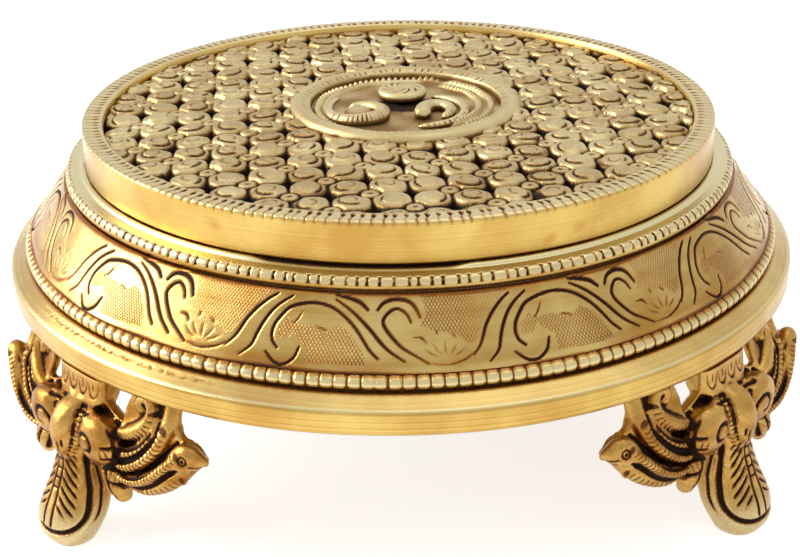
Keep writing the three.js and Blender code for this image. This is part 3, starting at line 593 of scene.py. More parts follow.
def petal_field(radius, height, angle):
    """Depth below the crowns, and the patina layer. In its square, with beads at (0, 0) and (1, 1)
    and voids at the other corners, a petal's places are u = x + y - 1 along it and v = x - y across it. How
    far a point is inside the petal is the soft minimum of its distances to the beads, the voids and the
    square's sides; the flanks rise with that distance, and the top is a pillow in u and v with a raised oval
    and a cut beside it. Painted shade grows with the depth, sooner and darker towards the front, and fills
    the voids as painted shadow; soil lies in the cuts and in the beads' dimples."""
    source = np.random.default_rng(seed + 5)
    middle = lattice_middle(radius)
    x0, y0 = middle[0] + radius * np.sin(angle), middle[1] - radius * np.cos(angle)
    turned_x = x0 * math.cos(lattice_turn) + y0 * math.sin(lattice_turn)
    turned_y = -x0 * math.sin(lattice_turn) + y0 * math.cos(lattice_turn)
    gx, gy = turned_x / pitch + lattice_shift[0], turned_y / pitch + lattice_shift[1]
    gx = gx + 0.02 * np.sin(turned_y / 7.3 + 1) + 0.012 * np.sin(turned_x / 4.1)
    gy = gy + 0.02 * np.sin(turned_x / 8.9 + 2) + 0.012 * np.sin(turned_y / 3.7)
    column, row = np.floor(gx).astype(int), np.floor(gy).astype(int)
    even = (column + row) % 2 == 0
    x, y = gx - column, gy - row
    x = np.where(even, x, 1 - x)
    own = source.uniform(-1, 1, (6, 64, 64))[:, column % 64, row % 64]
    u, v = x + y - 1, x - y
    reach = np.minimum(np.hypot(x, y), np.hypot(1 - x, 1 - y)) * pitch
    side = np.minimum(np.minimum(x, 1 - x), np.minimum(y, 1 - y)) * pitch
    soft = 0.28
    inside = -soft * np.log(
        np.exp(-(reach - bead_reach) / soft) + np.exp(-(side - side_gap) / soft)
        + np.exp(-((void_half + 0.05 * own[2] - np.abs(v)) * pitch / math.sqrt(2)) / soft))
    flank = 1 - (1 - np.clip((inside + 0.3) / 1.05, 0, 1)) ** 2.4
    floor_depth = wall_depth + wall_depth * smooth_step(np.abs(v), 0.56, 0.76)
    oval_place = np.hypot((u - 0.06 * own[5]) / (0.40 + 0.04 * own[3]),
                          (v - 0.05 * own[0]) / (0.41 + 0.04 * own[1]))
    oval = fade(oval_place, 0.88, 1.14)
    facing = smooth_step(np.cos(np.arctan2(v, u) - math.pi * own[3]), -0.3, 0.4)
    cut = fade(np.abs(oval_place - 1.04) * 3.4, 0.12, 0.55) * facing
    inner = fade(np.abs(oval_place - 0.55) * 3.4, 0.1, 0.45) * (1 - facing) * (own[1] > -0.2)
    top = (0.35 + 0.45 * (v / 0.8) ** 2 + 0.2 * u ** 2 + 0.3 * own[4] + 0.4 * own[1] * u + 0.5 * own[0] * v
           - 0.38 * oval + 0.4 * cut + 0.25 * inner)
    depth = floor_depth + (top - floor_depth) * flank
    button = 0.5 + 0.35 * (reach / 2.1) ** 2 + 0.45 * fade(reach, 0.3, 0.95)
    depth = button + (depth - button) * smooth_step(reach, 1.85, 2.5)
    on_top = (height > crown_level - 0.05) * 1.0
    beside_void = smooth_step(np.abs(v), 0.58, 0.72)
    # Painted shade: the deeper a point lies, the darker, and sooner and darker towards the front
    front = smooth_step(-y0, -5, 55)
    deep = smooth_step(depth, 0.8 - 0.2 * front, 1.9 - 0.4 * front)
    soil = 0.08 + 0.08 * own[3] + (0.6 + 0.3 * front) * deep
    # The voids are filled with painted shadow
    soil = soil + (smooth_step(depth, 0.9, 2.0) - soil) * beside_void
    soil = np.maximum(soil, np.maximum(0.75 * cut, 0.45 * inner) * flank)
    soil = np.maximum(soil, 0.75 * fade(reach, 0.25, 0.8))
    return depth * on_top, {"patina": soil * on_top}


# Pale cast brass with an old khaki skin on the petals and black-brown painted shade down the walls.
pale_brass = worn_metal("old khaki-skinned cast brass", "#cfbe8f", "#b49d6e", "#a07a44", "#26140a",
                        0.45, 3.0, 0.45, 0.5)
# The one casting is meshed as two rings, which meet in an upright wall under the petals.
for name, inner, outer in (("inner_petals", seat_edge, ring_join), ("outer_petals", ring_join, plate_edge)):
    section = divided([(inner, plate_under, 1), (outer, plate_under, 1), (outer, crown_level, 68),
                       (inner, crown_level, 1)])
    petals = turned(name, section, 1340, pale_brass, petal_field, lattice_middle(section[:, :1]), True)
    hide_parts("lattice_plate")


def as_cast(radius, height, angle):
    """No depth and a little even soil, for a plain cast face that isn't seen from above."""
    return 0 * angle, {"patina": 0.25 + 0 * angle}


# The plate's middle is a plain disc: the seat of the medallion, with a hole for its stud.
seat_profile = divided([(2.3, plate_under, 4), (27.05, plate_under, 1), (27.05, 74.6, 4), (2.3, 74.6, 1)])
seat = turned("medallion_seat", seat_profile, 240, pale_brass, as_cast, medallion_middle)
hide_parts("lattice_plate")

# Centre medallion: one casting of the same pale brass, held to the plate by a stud under it. A
# raised round ring, notched on its inner side, lies about a sunk field that has a high knob at
# the back and a notched scroll on either side.
field_level = 75.9
notch_count, notch_depth = 84, 0.3
rope_radius, rope_height, lip_radius, lip_height = 22.6, 1.0, 20.6, 0.8
ridge_radius, ridge_pitch, ridge_height = 21.9, 3.1, 1.15


def ring_notches(radius, height, angle):
    """Depth and layers of the ring: short radial cuts all round its inner half, about 2 mm apart. Its
    foot has painted shade and its crest a faint painted pale sheen.
    """
    source = np.random.default_rng(seed + 6)
    off, number = marks(angle, notch_count, source, 0.2)
    inner = smooth_step(radius, 24.5, 24.9) * fade(radius, 26.0, 26.6) * (height > 77)
    cut = fade(np.abs(off * radius), 0.08, 0.42) * inner * source.uniform(0.2, 0.9, notch_count)[number]
    # Painted shade at the ring's foot
    foot = fade(height, 76.3, 77.5 + 0.25 * ripple(angle, (5, 13, 29), source))
    # A faint painted pale sheen on the crest
    crest = smooth_step(height, 77.6, 78.2)
    return notch_depth * cut + 0.07 * ripple(angle, (3, 8, 13), source), {
        "patina": np.maximum(0.55 * cut, foot * 0.5), "pale": 0.15 * crest}


ring_profile = np.array([
    (24.4, 74.9), (27, 74.9), (29.6, 74.9), (29.6, 75.6), (29.6, 76.2), (29.5, 76.7), (29.3, 77.15),
    (29, 77.55), (28.6, 77.9), (28.1, 78.15), (27.5, 78.28), (26.9, 78.3), (26.5, 78.24), (26.1, 78.17),
    (25.7, 78.08), (25.3, 77.98), (24.9, 77.86), (24.6, 77.65), (24.45, 77.35), (24.4, 76.9),
    (24.4, 76.3), (24.4, 75.6)])
ring = turned("medallion_rim", ring_profile, 720, pale_brass, ring_notches, medallion_middle)


def medallion_field(radius, height, angle):
    """Depth and patina of the sunk field. A beaded rope and a lip inside it follow the ring at its
    left and back, two nicked ridges follow it at the right, the floor waves a little, and a painted shadow
    lies thick in front of the knob. Depth is negative where something stands up."""
    source = np.random.default_rng(seed + 7)
    x, y = radius * np.sin(angle), -radius * np.cos(angle)
    up = height > field_level - 0.01
    turn = np.degrees(np.arctan2(y, x))
    from_left = np.abs(np.mod(turn, 360) - 145)
    rope = fade(np.abs(radius - rope_radius), 0.4, 1.0) * fade(from_left, 72, 84)
    beading = 0.55 + 0.45 * np.cos(np.radians(turn) * 86)
    lip = fade(np.abs(radius - lip_radius), 0.2, 0.8) * fade(from_left, 60, 72)
    at_right = fade(np.abs(turn - 4), 48, 62)
    ridge_wave = smooth_step(np.cos((radius - ridge_radius) / ridge_pitch * 2 * math.pi), -0.3, 0.6)
    ridges = ridge_wave * smooth_step(radius, 17.2, 17.9) * fade(radius, 22.9, 23.4) * at_right
    nicks = smooth_step(np.cos(np.radians(turn) * 96 + radius * 2), 0.5, 0.95)
    waves = 0.15 * np.sin(x / 1.9 + 1) * np.sin(y / 1.6) + 0.1 * ripple(angle, (4, 9), source)
    depth = (waves - rope_height * rope * beading - lip_height * lip
             - ridge_height * ridges * (1 - 0.35 * nicks))
    soil = 0.26 + 0.14 * np.sin(x / 3.1) * np.sin(y / 2.3) - 0.5 * rope * beading - 0.45 * lip - 0.5 * ridges
    # Painted shadow in front of the knob
    shadow = fade(np.hypot((x + 0.6) / 1.3, y - 1.0), 4.2, 6.4)
    return depth * up, {"patina": np.maximum(np.maximum(soil, 0.5 * ridges * nicks), shadow) * up}


field_profile = divided([
    (0.05, 74.95, 3), (24.4, 74.95, 1), (24.4, field_level, 90), (0.05, field_level, 1)])
field = turned("medallion_field", field_profile, 480, pale_brass, medallion_field, medallion_middle, True)


# The stud is cast with the medallion and goes down through the plate to the washer and the nut.
stud_profile = divided([(0.05, 65.9, 1), (1.7, 65.9, 1), (2.0, 66.2, 6), (2.0, 75.0, 1), (0.05, 75.0, 1)])
stud = turned("medallion_stud", stud_profile, 48, pale_brass, as_cast, medallion_middle)


def closed_rings(rings):
    """Points and triangles of a skin over rings of equal count, with a fan on each end's middle."""
    rows, sides = rings.shape[:2]
    points = np.concatenate([rings.reshape(-1, 3), rings[0].mean(0)[None], rings[-1].mean(0)[None]])
    quads = grid_faces(rows, sides)
    place = np.arange(sides)
    beside = (place + 1) % sides
    hub, last = rows * sides + 0 * place, (rows - 1) * sides
    return points, np.concatenate([
        quads[:, [0, 1, 2]], quads[:, [0, 2, 3]], np.stack([hub, beside, place], -1),
        np.stack([hub + 1, last + place, last + beside], -1)])


def tube(name, path, sizes, notches, sides=22):
    """A closed tube along a path of x, y, z places: at each, a ring of that half width, and 0.9 times as
    high, stands across the path. Notches narrow it to 0.86 on its outer side, at even steps. Soil lies in
    the notches, painted shade on the tube's lower half, and an even painted pale sheen over it all."""
    sizes = sizes[:, None]
    ahead = np.gradient(path, axis=0)
    ahead /= np.linalg.norm(ahead, axis=1, keepdims=True)
    side = np.stack([ahead[:, 1], -ahead[:, 0], 0 * ahead[:, 0]], -1)
    side /= np.maximum(np.linalg.norm(side, axis=1, keepdims=True), 1e-9)
    side *= np.sign(((path - path.mean(0)) * side).sum(1, keepdims=True).mean())
    turn = circle(sides)
    travel = np.concatenate([[0], np.cumsum(np.linalg.norm(np.diff(path, axis=0), axis=1))])[:, None]
    phase = np.abs(np.mod(travel / travel[-1] * notches, 1) - 0.5) * 2
    facing = smooth_step(np.sin(turn), -0.1, 0.4) * smooth_step(np.cos(turn), 0.0, 0.5)
    notch = smooth_step(phase, 0.66, 1.0) * facing
    width = sizes * np.cos(turn) * (1 - 0.14 * notch)
    height = sizes * 0.9 * np.sin(turn) * (1 - 0.14 * notch)
    points, triangles = closed_rings(path[:, None, :] + side[:, None, :] * width[..., None]
                                     + np.array([0, 0, 1]) * height[..., None])
    if np.cross(ahead[0], side[0])[2] > 0:
        triangles = triangles[:, ::-1]
    # Soil in the notches and painted shade on the lower half of the tube
    patina = np.maximum(0.7 * notch, 0.6 * fade(np.sin(turn), -0.3, 0.6)) + 0 * sizes
    patina = np.concatenate([patina.ravel(), [0, 0]])
    return surface(name, points, triangles, pale_brass, patina=patina, pale=0.4)


# Each curl is a tapered scroll laid on the field: places of x, y and z, and the half width there.
left_scroll = [
    (-15.2, 11.6, 76, 0.6), (-17.2, 6.6, 76.1, 0.9), (-17.6, -0.6, 76.3, 1.2), (-15.6, -6.4, 76.5, 1.6),
    (-11.8, -9.4, 76.8, 1.9), (-7.6, -9.3, 76.9, 2.1), (-4.5, -6.6, 76.9, 2.1), (-4, -2.6, 76.9, 1.9),
    (-6.2, 1, 76.8, 1.6), (-9.6, 2.7, 76.7, 1.3), (-12.6, 1.8, 76.5, 1)]
right_scroll = [
    (6.6, -7.2, 76.9, 1.9), (6.1, -4, 76.9, 2.1), (6.9, -0.7, 76.9, 2), (9.1, 1.5, 76.9, 1.7),
    (11.7, 1, 76.9, 1.6), (13.2, -1.6, 76.8, 1.5), (12.8, -4.8, 76.6, 1.3), (10.9, -6.6, 76.3, 1)]
outer_arm = [
    (8.6, 10.6, 76.1, 0.8), (12.6, 8.4, 76.3, 1.1), (15.8, 4.2, 76.4, 1.2), (16.9, -1, 76.4, 1.2),
    (15.8, -6.4, 76.4, 1.2), (12.6, -10.8, 76.4, 1.1), (8.4, -12.8, 76.3, 1), (4.8, -12.6, 76.1, 0.7)]
curls = []
for name, scroll, count in (("left_curl", left_scroll, 52), ("right_curl", right_scroll, 26),
                            ("right_arm", outer_arm, 26)):
    scroll = eased(scroll, 14)
    place = np.arange(len(scroll))
    taper = np.sin(np.pi * np.clip(np.minimum(place, place[::-1]) / 12, 0.04, 0.5))
    curls.append(tube(name, scroll[:, :3], scroll[:, 3] * taper, count))


def dome(name, middle, sections, columns, dimples):
    """A round knob: sections of radius and height turned about an upright axis, with dimples in a spiral
    where cos(dimples (angle + 0.3 radius)) is high. Soil lies in the dimples, painted shade darkens the
    knob below 78.4 mm, most strongly below 76.5 mm, and an even painted pale sheen lies over it."""
    radius, height = sections[:, :1], sections[:, 1:]
    angle = circle(columns)
    pit = smooth_step(np.cos(dimples * (angle + radius * 0.3)), 0.35, 0.95)
    pit = pit * smooth_step(radius, 1.2, 2.0) * fade(radius, 4.4, 5.2) * (height > 78)
    points = np.stack([middle[0] + radius * np.cos(angle), middle[1] + radius * np.sin(angle),
                       height - 0.35 * pit + 0 * angle], -1).reshape(-1, 3)
    # Soil in the dimples, and painted shade under the cap and down the neck
    soil = np.maximum(0.6 * pit, 0.75 * fade(height, 76.5, 78.4) + 0 * angle)
    faces = grid_faces(len(sections), columns)
    return surface(name, points, faces, pale_brass, patina=soil.ravel(), pale=0.4)


# The knob is a mushroom: a narrow neck under a flat cap. A small boss is the eye of the left curl.
knob_sections = eased([(0.02, 75.2), (3.7, 75.2), (3.8, 75.7), (4.8, 76), (5.8, 76.4), (6.25, 77),
                       (6.35, 77.6), (6.2, 78.2), (5.7, 78.7), (4.8, 79), (3.6, 79.12), (2.4, 79.15),
                       (1.2, 79.15), (0.02, 79.1)], 5)
knob = dome("knob", (1.1, 10.6), knob_sections, 96, 9)
rise = np.radians(np.linspace(-90, 90, 18))[:, None]
eye_sections = np.hstack([np.maximum(3.6 * np.cos(rise), 0.02), 76.8 + 1.3 * np.sin(rise)])
left_eye = dome("left_eye", (-10.0, -3.2), eye_sections, 32, 0)
for part in (ring, field, stud, knob, *curls, left_eye):
    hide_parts("centre_medallion")

# Legs: four sand castings of yellow brass, chased after casting and pegged under the flange. Each
# has a scaled collar, a knee lobe between roped strands and two volutes, a bird-headed wing on
# either side and a leaf on its foot.
flange_radius, leg_height = 99.7, 39.8
foot_start = 18.5  # the drop at which the ankle turns into the foot
leaf_side, leaf_end, leaf_tip = 74, 30, 6.2  # half its angle, the drop where it starts to close, and its tip
slit_step, slit_lean, pearl_step = 2.1, 0.115, 2.2
sheet_thickness = 2.2
remesh_voxel = 0.00034  # metres
cast_waves, cast_wave_depth = 9, 0.07


# A leg is shaped as s along the flange's edge from the leg's axis, drop below the flange and out
# beyond its edge, and then bent round the table.
def limb(rows, side, sides=20):
    """An oval carried along rows of s, drop, out, half width and half depth, round at both ends. With e the
    unit vector across the path: (s, drop) = path + e w cos a and out = out + d sin a."""
    rows = eased(rows, 7)
    run = np.gradient(rows[:, :2], axis=0)
    run /= np.linalg.norm(run, axis=1, keepdims=True)
    tips = []
    for end, way in ((0, -1), (-1, 1)):
        bend = np.radians([30, 55, 75, 86])
        tip = np.repeat(rows[end][None], len(bend), 0)
        tip[:, :2] += way * run[end] * (rows[end, 3] * 0.8 * np.sin(bend))[:, None]
        tip[:, 3:] *= np.cos(bend)[:, None]
        tips.append((tip, np.repeat(run[end][None], len(bend), 0)))
    s, drop, out, wide, deep = np.concatenate([tips[0][0][::-1], rows, tips[1][0]]).T[:, :, None]
    run_s, run_drop = np.concatenate([tips[0][1], run, tips[1][1]]).T[:, :, None]
    turn = circle(sides)
    wide = wide * np.cos(turn)
    return closed_rings(np.stack([
        side * (s - run_drop * wide), drop + run_s * wide, out + deep * np.sin(turn)], -1))


def level_stack(rows, sides=30):
    """Level ovals from rows of drop, out, half width and half depth. With p the power of the sine and
    cosine, they are nearly rectangles at the collar (p 0.4) and nearly ellipses from a drop of 9 on
    (p 0.85)."""
    drop, out, wide, deep = eased(rows, 6).T[:, :, None]
    turn = circle(sides)
    power = 0.4 + 0.45 * smooth_step(drop, 5, 9)
    level, ahead = (np.sign(wave) * np.abs(wave) ** power for wave in (np.cos(turn), np.sin(turn)))
    return closed_rings(np.stack([wide * level, drop + 0 * turn, out + deep * ahead], -1))


def boss(middle, rows, side, sides=28):
    """A round boss that faces out, from rows of out and radius about its middle."""
    out, radius = eased(rows, 5).T[:, :, None]
    turn = circle(sides)
    return closed_rings(np.stack([
        side * (middle[0] + radius * np.cos(turn)), middle[1] + radius * np.sin(turn), out + 0 * turn], -1))


def wing_sheet(outline, side):
    """The sheet behind a wing's limbs: an outline of s and drop, whose out follows from the drop, with
    one thickness."""
    cut = np.array(geometry.tessellate_polygon([[Vector((s, drop, 0)) for s, drop in outline]]))
    s, drop = np.array(outline, float).T
    out = np.interp(drop, [0, 5.5, 9.5, 16.5, 26], [-4, -1.9, 0.3, 1.5, 1.7])
    half = sheet_thickness / 2
    front, back = (np.stack([side * s, drop, level], -1) for level in (out + half, out - half))
    wall = grid_faces(2, len(s))
    return np.concatenate([front, back]), np.concatenate([
        cut, cut[:, ::-1] + len(s), wall[:, :3], wall[:, [0, 2, 3]]])


# The middle of the leg and the lobe on its knee, as rows for level_stack, and the volute's, for boss.
spine = [(-2, -3.4, 8.6, 3.4), (3.5, -2.9, 8.9, 3.3), (6.6, -2, 8.4, 3.3), (7.8, -1.6, 6.4, 3),
         (12, 1, 5.6, 3.8), (17.5, 2.1, 5, 4.4), (21.5, 2.1, 5.4, 5.1), (26.5, 2.4, 6.7, 6.8),
         (33, 4.8, 8, 7.3), (37.8, 6.6, 7, 6.1), (40.6, 6.4, 5.2, 4.6)]
knee_lobe = [(5.6, -0.6, 2.1, 1.2), (7.4, 2.6, 2.8, 2.4), (10.5, 4.7, 3.1, 2.8), (15, 5.5, 2.9, 2.6),
             (18.4, 5.5, 1.9, 1.8), (20.6, 5, 0.6, 0.8)]
volute_middle = (9.9, 12.7)
volute = [(-1, 4.8), (2.2, 5.7), (3.8, 5.6), (5, 4.9), (5.8, 3.6), (6.2, 1.9), (6.3, 0.4)]
sheet_outline = [(0, 3), (7, 3.4), (10.5, 6.6), (15, 7.8), (14.8, 4.5), (16.8, -0.6), (29.2, -0.6), (29.6, 4),
                 (31.4, 7), (35.6, 8), (38.4, 10.4), (36.4, 12.6), (32, 17.2), (26.8, 19.9), (20, 20.6),
                 (17.5, 22.3), (15.1, 24.6), (11.8, 23.6), (8.5, 20.5), (0, 22)]
wing_limbs = {
    "head and beak, with the brow down to the body": [
        (38, 10.3, 1.4, 1.3, 1.2), (36.8, 10, 1.8, 2.2, 1.8), (34.4, 9.7, 2, 3.3, 2.6),
        (32, 11.4, 2, 3.1, 2.5)],
    "notched band along the body": [
        (32.6, 9.2, 3.2, 0.9, 1.4), (29.4, 12.6, 3.4, 1.25, 2), (25.5, 16, 3.5, 1.25, 2.2),
        (21.3, 18.4, 3.3, 1.2, 2.2), (17.4, 19.6, 2.8, 1, 2), (13.2, 19.2, 2.2, 0.8, 1.6)],
    "feathered belly": [
        (34.2, 12.8, 1.5, 1.6, 2), (31, 15.4, 2, 2.2, 2.6), (27, 18.1, 2.1, 2.3, 2.8),
        (22.5, 20.2, 2, 1.9, 2.6), (17, 20.6, 1.5, 1.3, 2)],
    "hatched neck": [
        (28, -1.5, -3.9, 2.1, 1.7), (28, 3, -2.2, 2.2, 2), (27.4, 7, -0.2, 2, 2.3),
        (25.3, 10.9, 1, 1.8, 2.4), (21.6, 14.5, 2, 1.6, 2.4), (17, 16.6, 2.2, 1.3, 2.2),
        (13, 16.6, 1.8, 0.9, 1.8)],
    "thin band above the neck": [
        (24.9, 4.6, -1.2, 0.8, 1.3), (23.8, 8.2, 0.2, 1.2, 2), (20.4, 11.9, 1.3, 1.3, 2.1),
        (16.2, 14, 1.6, 1.1, 2), (12.6, 14.2, 1.4, 0.8, 1.6)],
    "curl under the flange": [
        (20.3, 3.5, -1.4, 0.9, 1.3), (19.3, 2.3, -1.7, 1.2, 1.6), (20.2, 0.9, -2.3, 1.3, 1.8),
        (21.9, 1, -2.3, 1.3, 1.9), (23.1, 3, -1.6, 1.4, 2), (22.4, 5.8, -0.5, 1.7, 2.1),
        (19.6, 8.2, 0.4, 1.8, 2.1), (16, 9.6, 0.8, 1.5, 1.8), (12.6, 10, 0.8, 1.1, 1.4)],
    "top of the volute, drawn out to the knee": [
        (4.9, 8, 1.6, 0.9, 1.6), (7, 8.2, 2.6, 1.6, 2.2), (9.6, 9.6, 3.2, 1.9, 2.4)],
    "bulb between wing and ankle": [
        (10.6, 16, 1.4, 1.6, 2.2), (12.8, 19.8, 2.1, 3, 2.9), (14.4, 22.8, 2.4, 3.3, 2.8),
        (15.2, 25, 2.2, 2.3, 2)],
    "round knob at the throat": [(33.4, 14.6, 3.4, 1.0, 1.0), (33.9, 14.9, 3.4, 1.0, 1.0)],
    "roped strand beside the knee lobe": [
        (4, 7.6, 2.2, 0.6, 0.9), (4.2, 10, 3.4, 0.7, 1.1), (4.1, 13, 4.3, 0.7, 1.1),
        (3.6, 16, 4.9, 0.7, 1), (2.6, 19.4, 5.2, 0.5, 0.8)],
}

# Chased lines of the wings, the volutes and the collar's scales: half width, then places of |s| and drop.
chased_lines = [
    (0.55, [(30.6, 8), (28.6, 10.6), (26.3, 13.2), (22.9, 16.2), (18, 18.1), (13.5, 17.9)]),
    (0.45, [(25.8, 4.6), (25.4, 7.6), (23.9, 10), (21, 13), (16.6, 15.4), (12.9, 15.5)]),
    (0.45, [(24.2, 7), (21.4, 10.4), (17.6, 12.2), (13.4, 12.4)]),
    (0.40, [(32.6, 12.4), (30, 14.3), (26.4, 17.6), (22, 20), (17.6, 21.2), (13.6, 20.9)]),
    (0.30, [(39.6, 10.9), (37.6, 11.3), (35.8, 11)]),
    (0.20, [(35.2, 8.8), (34.3, 8.3), (33.5, 9), (33.5, 10), (34.3, 10.5), (35.2, 10), (35.2, 8.8)]),
    (0.35, [(34.3, 9.3), (34.4, 9.5)]),
    (0.45, [(12.2, 18), (13.3, 20.6), (14.6, 24.4)]),
    (0.40, [(9.8, 19.2), (10.6, 21.6), (12, 24.2)]),
    (0.26, [(3.2, 7.8), (4.6, 7.6), (6.4, 7.1), (8.6, 6.2)]),
    (0.5, [(5.2, 14.2), (6, 12), (7.6, 10.7), (9.5, 11), (10.3, 12.8), (9.5, 14.5), (8.1, 14.8)]),
    (0.5, [(13.8, 8.2), (15.6, 10.8), (15.8, 14.4), (13.8, 17.6), (10.3, 18.7), (7, 18)]),
    (0.12, [(0.3, 1.6), (0.6, 3.6), (1.9, 5), (3.2, 3.6), (3.5, 1.6)]),
    (0.12, [(4.1, 1.6), (4.4, 3.6), (5.7, 5), (7, 3.6), (7.3, 1.6)]),
    (0.10, [(1.9, 1.4), (1.9, 3.4)]), (0.10, [(5.7, 1.4), (5.7, 3.4)]),
    (0.18, [(0.9, 14.6), (0.9, 16.2), (0.6, 17.8)]), (0.18, [(2, 14), (1.9, 15.8)]),
]

# Rows of short cuts across a band: the path they follow, how far across they reach, and their pitch.
notch_rows = [
    ([row[:2] for row in wing_limbs["notched band along the body"]], 1.1, 1.15),
    ([(27.4, 6), (25.9, 10.6), (22.3, 14.6), (17.4, 17), (13.4, 17)], 1.3, 1.25),
    ([row[:2] for row in wing_limbs["thin band above the neck"][1:]], 1.0, 1.3),
    ([(23.9, 3.4), (23, 6.4), (20, 9.2), (16.2, 10.8)], 0.8, 1.2),
    ([(33.6, 14.6), (30.6, 17.2), (26.6, 19.6), (22, 21.2), (17.6, 21.6)], 0.9, 1.5),
    ([row[:2] for row in wing_limbs["roped strand beside the knee lobe"]], 0.8, 1.1),
]


def nearest_on(path, along, up):
    """For each point, its distance to a path of straight runs and how far along the path that is."""
    distance, travel, gone = np.full(along.shape, 1e3), np.zeros(along.shape), 0.0
    for start, end in zip(path, path[1:]):
        length = math.dist(start, end)
        share, gap = to_run(start, end, along, up)
        closer = gap < distance
        distance, travel = np.where(closer, gap, distance), np.where(closer, gone + share * length, travel)
        gone += length
    return distance, travel


def chased(s, drop, out, facing):
    """Depth and patina of the chasing at places of a leg. On the foot the places are the angle f round its
    own middle and the drop: its leaf ends where q = hypot(f / 74, (drop - 30) / 6.2) = 1, and its slits run
    where (drop - 0.115 f) / 2.1 is half way between two whole numbers."""
    along = np.abs(s)
    front = smooth_step(facing, -0.1, 0.35)
    cut = line_work(chased_lines, along, drop) * front
    notches = np.zeros(s.shape)
    for path, reach, step in notch_rows:
        gap, travel = nearest_on(path, along, drop)
        tooth = smooth_step(np.cos(travel / step * 2 * math.pi), 0.45, 0.95)
        notches = np.maximum(notches, tooth * fade(gap, reach * 0.75, reach + 0.25) * front)
    rows = np.array(spine)
    middle, wide, deep = (np.interp(drop, rows[:, 0], rows[:, k]) for k in (1, 2, 3))
    x, y = along / wide, (out - middle) / deep
    turn = np.degrees(np.arctan2(x, y))
    on_foot = smooth_step(drop, foot_start - 1, foot_start + 1) * (np.hypot(x, y) < 1.35)
    past_leaf = np.hypot(turn / leaf_side, np.maximum(drop - leaf_end, 0) / leaf_tip) - 1
    border = fade(np.abs(past_leaf) * 7.5, 0.3, 0.95) * on_foot
    outer = fade(np.abs(past_leaf - 0.34) * 7.5, 0.15, 0.6) * on_foot * fade(drop, 32, 35)
    phase = np.abs(np.mod((drop - slit_lean * turn) / slit_step, 1) - 0.5)
    inside = fade(past_leaf, -0.22, -0.1)
    slits = fade(phase, 0.08, 0.26) * inside * on_foot
    slits = slits * smooth_step(turn, 12, 18) * fade(turn, 42, 54) * fade(drop, 30, 33)
    rib = fade(np.abs(turn - 9), 1.2, 3.6) * inside * on_foot
    pearls = smooth_step(np.cos(drop / pearl_step * 2 * math.pi), 0.5, 0.95)
    pearls = pearls * (turn < 9) * on_foot * (drop < 28)
    # Each kind of mark with its depth in millimetres and its soil
    worked = [(cut, 0.75, 1), (notches, 0.28, 0.5), (border, 0.85, 0.85), (outer, 0.4, 0.75),
              (slits, 0.6, 0.9), (rib, 0.35, 0.8), (pearls, 0.3, 0.7)]
    depth = sum(deep * mark for mark, deep, _ in worked)
    return depth, np.max([soil * mark for mark, _, soil in worked], axis=0)


def all_of(items, key, width, kind=np.float32):
    """One property of all of a mesh's items, as an array with a row for each."""
    values = np.empty(len(items) * width, kind)
    items.foreach_get(key, values)
    return values.reshape(-1, width)


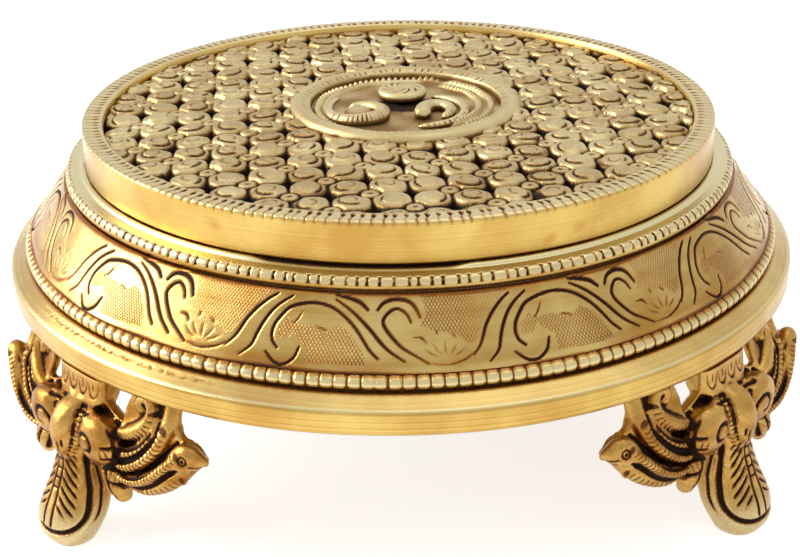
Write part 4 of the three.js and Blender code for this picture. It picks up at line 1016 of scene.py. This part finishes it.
def cast_leg(seed_number):
    """One leg on the axis of +X: its solids are joined by a 0.34 mm voxel remesh, its points relaxed
    towards the mean of their neighbours and then chased along their normals. The patina layer is
    the greater of the chasing's soil and of painted shade in the hollows, where a point lies below the mean
    of the points around it."""
    solids = [level_stack(spine), level_stack(knee_lobe)]
    for side in (1, -1):
        solids += [wing_sheet(sheet_outline, side), boss(volute_middle, volute, side)]
        solids += [limb(rows, side) for rows in wing_limbs.values()]
    offsets = np.cumsum([0] + [len(points) for points, _ in solids])
    flat = np.concatenate([points for points, _ in solids])
    faces = np.concatenate([tris + start for (_, tris), start in zip(solids, offsets)])
    angle, radius = flat[:, 0] / flange_radius, flange_radius + flat[:, 2]
    bent = np.stack([radius * np.cos(angle), radius * np.sin(angle), leg_height - flat[:, 1]], -1) * 0.001
    rough = bpy.data.meshes.new("rough leg")
    rough.from_pydata(bent.tolist(), [], faces.tolist())
    blank = bpy.data.objects.new("rough leg", rough)
    bpy.context.scene.collection.objects.link(blank)
    joined = blank.modifiers.new("join", "REMESH")
    joined.mode = "VOXEL"
    joined.voxel_size = remesh_voxel
    mesh = bpy.data.meshes.new_from_object(blank.evaluated_get(bpy.context.evaluated_depsgraph_get()))
    bpy.data.objects.remove(blank)
    bpy.data.meshes.remove(rough)
    edges = all_of(mesh.edges, "vertices", 2, np.int32)
    here, there = np.concatenate([edges, edges[:, ::-1]]).T
    neighbours = np.bincount(here)

    def relaxed(values, share, times):
        """Values moved towards the mean of their neighbours' by a share, a number of times."""
        for _ in range(times):
            mean = np.stack([np.bincount(here, column[there]) / neighbours for column in values.T], -1)
            values = values + share * (mean - values)
        return values

    points = relaxed(all_of(mesh.vertices, "co", 3).astype(float), 0.6, 3)
    mesh.vertices.foreach_set("co", points.astype(np.float32).ravel())
    mesh.update()
    normals = all_of(mesh.vertices, "normal", 3).astype(float)
    points *= 1000
    along = np.arctan2(points[:, 1], points[:, 0])
    reach = np.hypot(points[:, 0], points[:, 1])
    facing = normals[:, 0] * np.cos(along) + normals[:, 1] * np.sin(along)
    s, drop, out = along * flange_radius, leg_height - points[:, 2], reach - flange_radius
    depth, patina = chased(s, drop, out, facing)
    source = np.random.default_rng(seed_number)
    cast = sum(np.cos(points @ source.normal(0, 1.6, 3) + source.uniform(0, 6.28)) for _ in range(cast_waves))
    points = points - normals * (depth + cast_wave_depth * cast / cast_waves)[:, None]
    points = relaxed(points, 0.4, 1)
    sunk = ((relaxed(points, 0.7, 6) - points) * normals).sum(1)
    hollow = relaxed(np.clip(sunk / 0.10, -1, 1.5)[:, None], 0.6, 3)[:, 0]
    # Painted shade in the hollows
    shade = smooth_step(hollow, 0.15, 0.9)
    points[:, 2] = np.clip(points[:, 2], 0.0, leg_height - 0.3)
    quads = all_of(mesh.polygons, "vertices", 4, np.int32)
    bpy.data.meshes.remove(mesh)
    return points, quads, np.maximum(patina, 0.08 + 0.92 * shade)


# Cast brass, rubbed bright on high places, with painted brown-black shade in the hollows and a painted pale
# sheen on the feet.
cast_brass = worn_metal("sand-cast yellow brass", "#c8a25a", "#966628", "#8a5420", "#271205",
                        0.3, 2.5, 0.5, 0.5)
leg_points, leg_faces, leg_patina = cast_leg(seed + 20)
# A painted pale sheen on the feet
leg_pale = 0.7 * smooth_step(leg_height - leg_points[:, 2], 28, 36)
leg_turns = {"front_right": -43.5, "front_left": -136.5, "rear_right": 43.5, "rear_left": 136.5}
for name, turn in leg_turns.items():
    spin = np.array(Matrix.Rotation(math.radians(turn), 3, "Z"))
    leg = surface("carved_leg_" + name, leg_points @ spin.T, leg_faces, cast_brass,
                  patina=leg_patina, pale=leg_pale)
    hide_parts("leg_" + name)

# Washer and nut: the common steel pair that is screwed on the medallion's stud from below and
# holds it to the plate, out of sight. Their thin zinc plating has gone dull with age.
plated_steel = worn_metal("dull plated steel", "#9a9c9d", "#7f8183", "#6d675e", "#2a2622",
                          0.4, 1.0, 0.4, 0.4)
for name in ("medallion_washer", "medallion_nut"):
    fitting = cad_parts[name]
    fitting.data.materials.clear()
    fitting.data.materials.append(plated_steel)
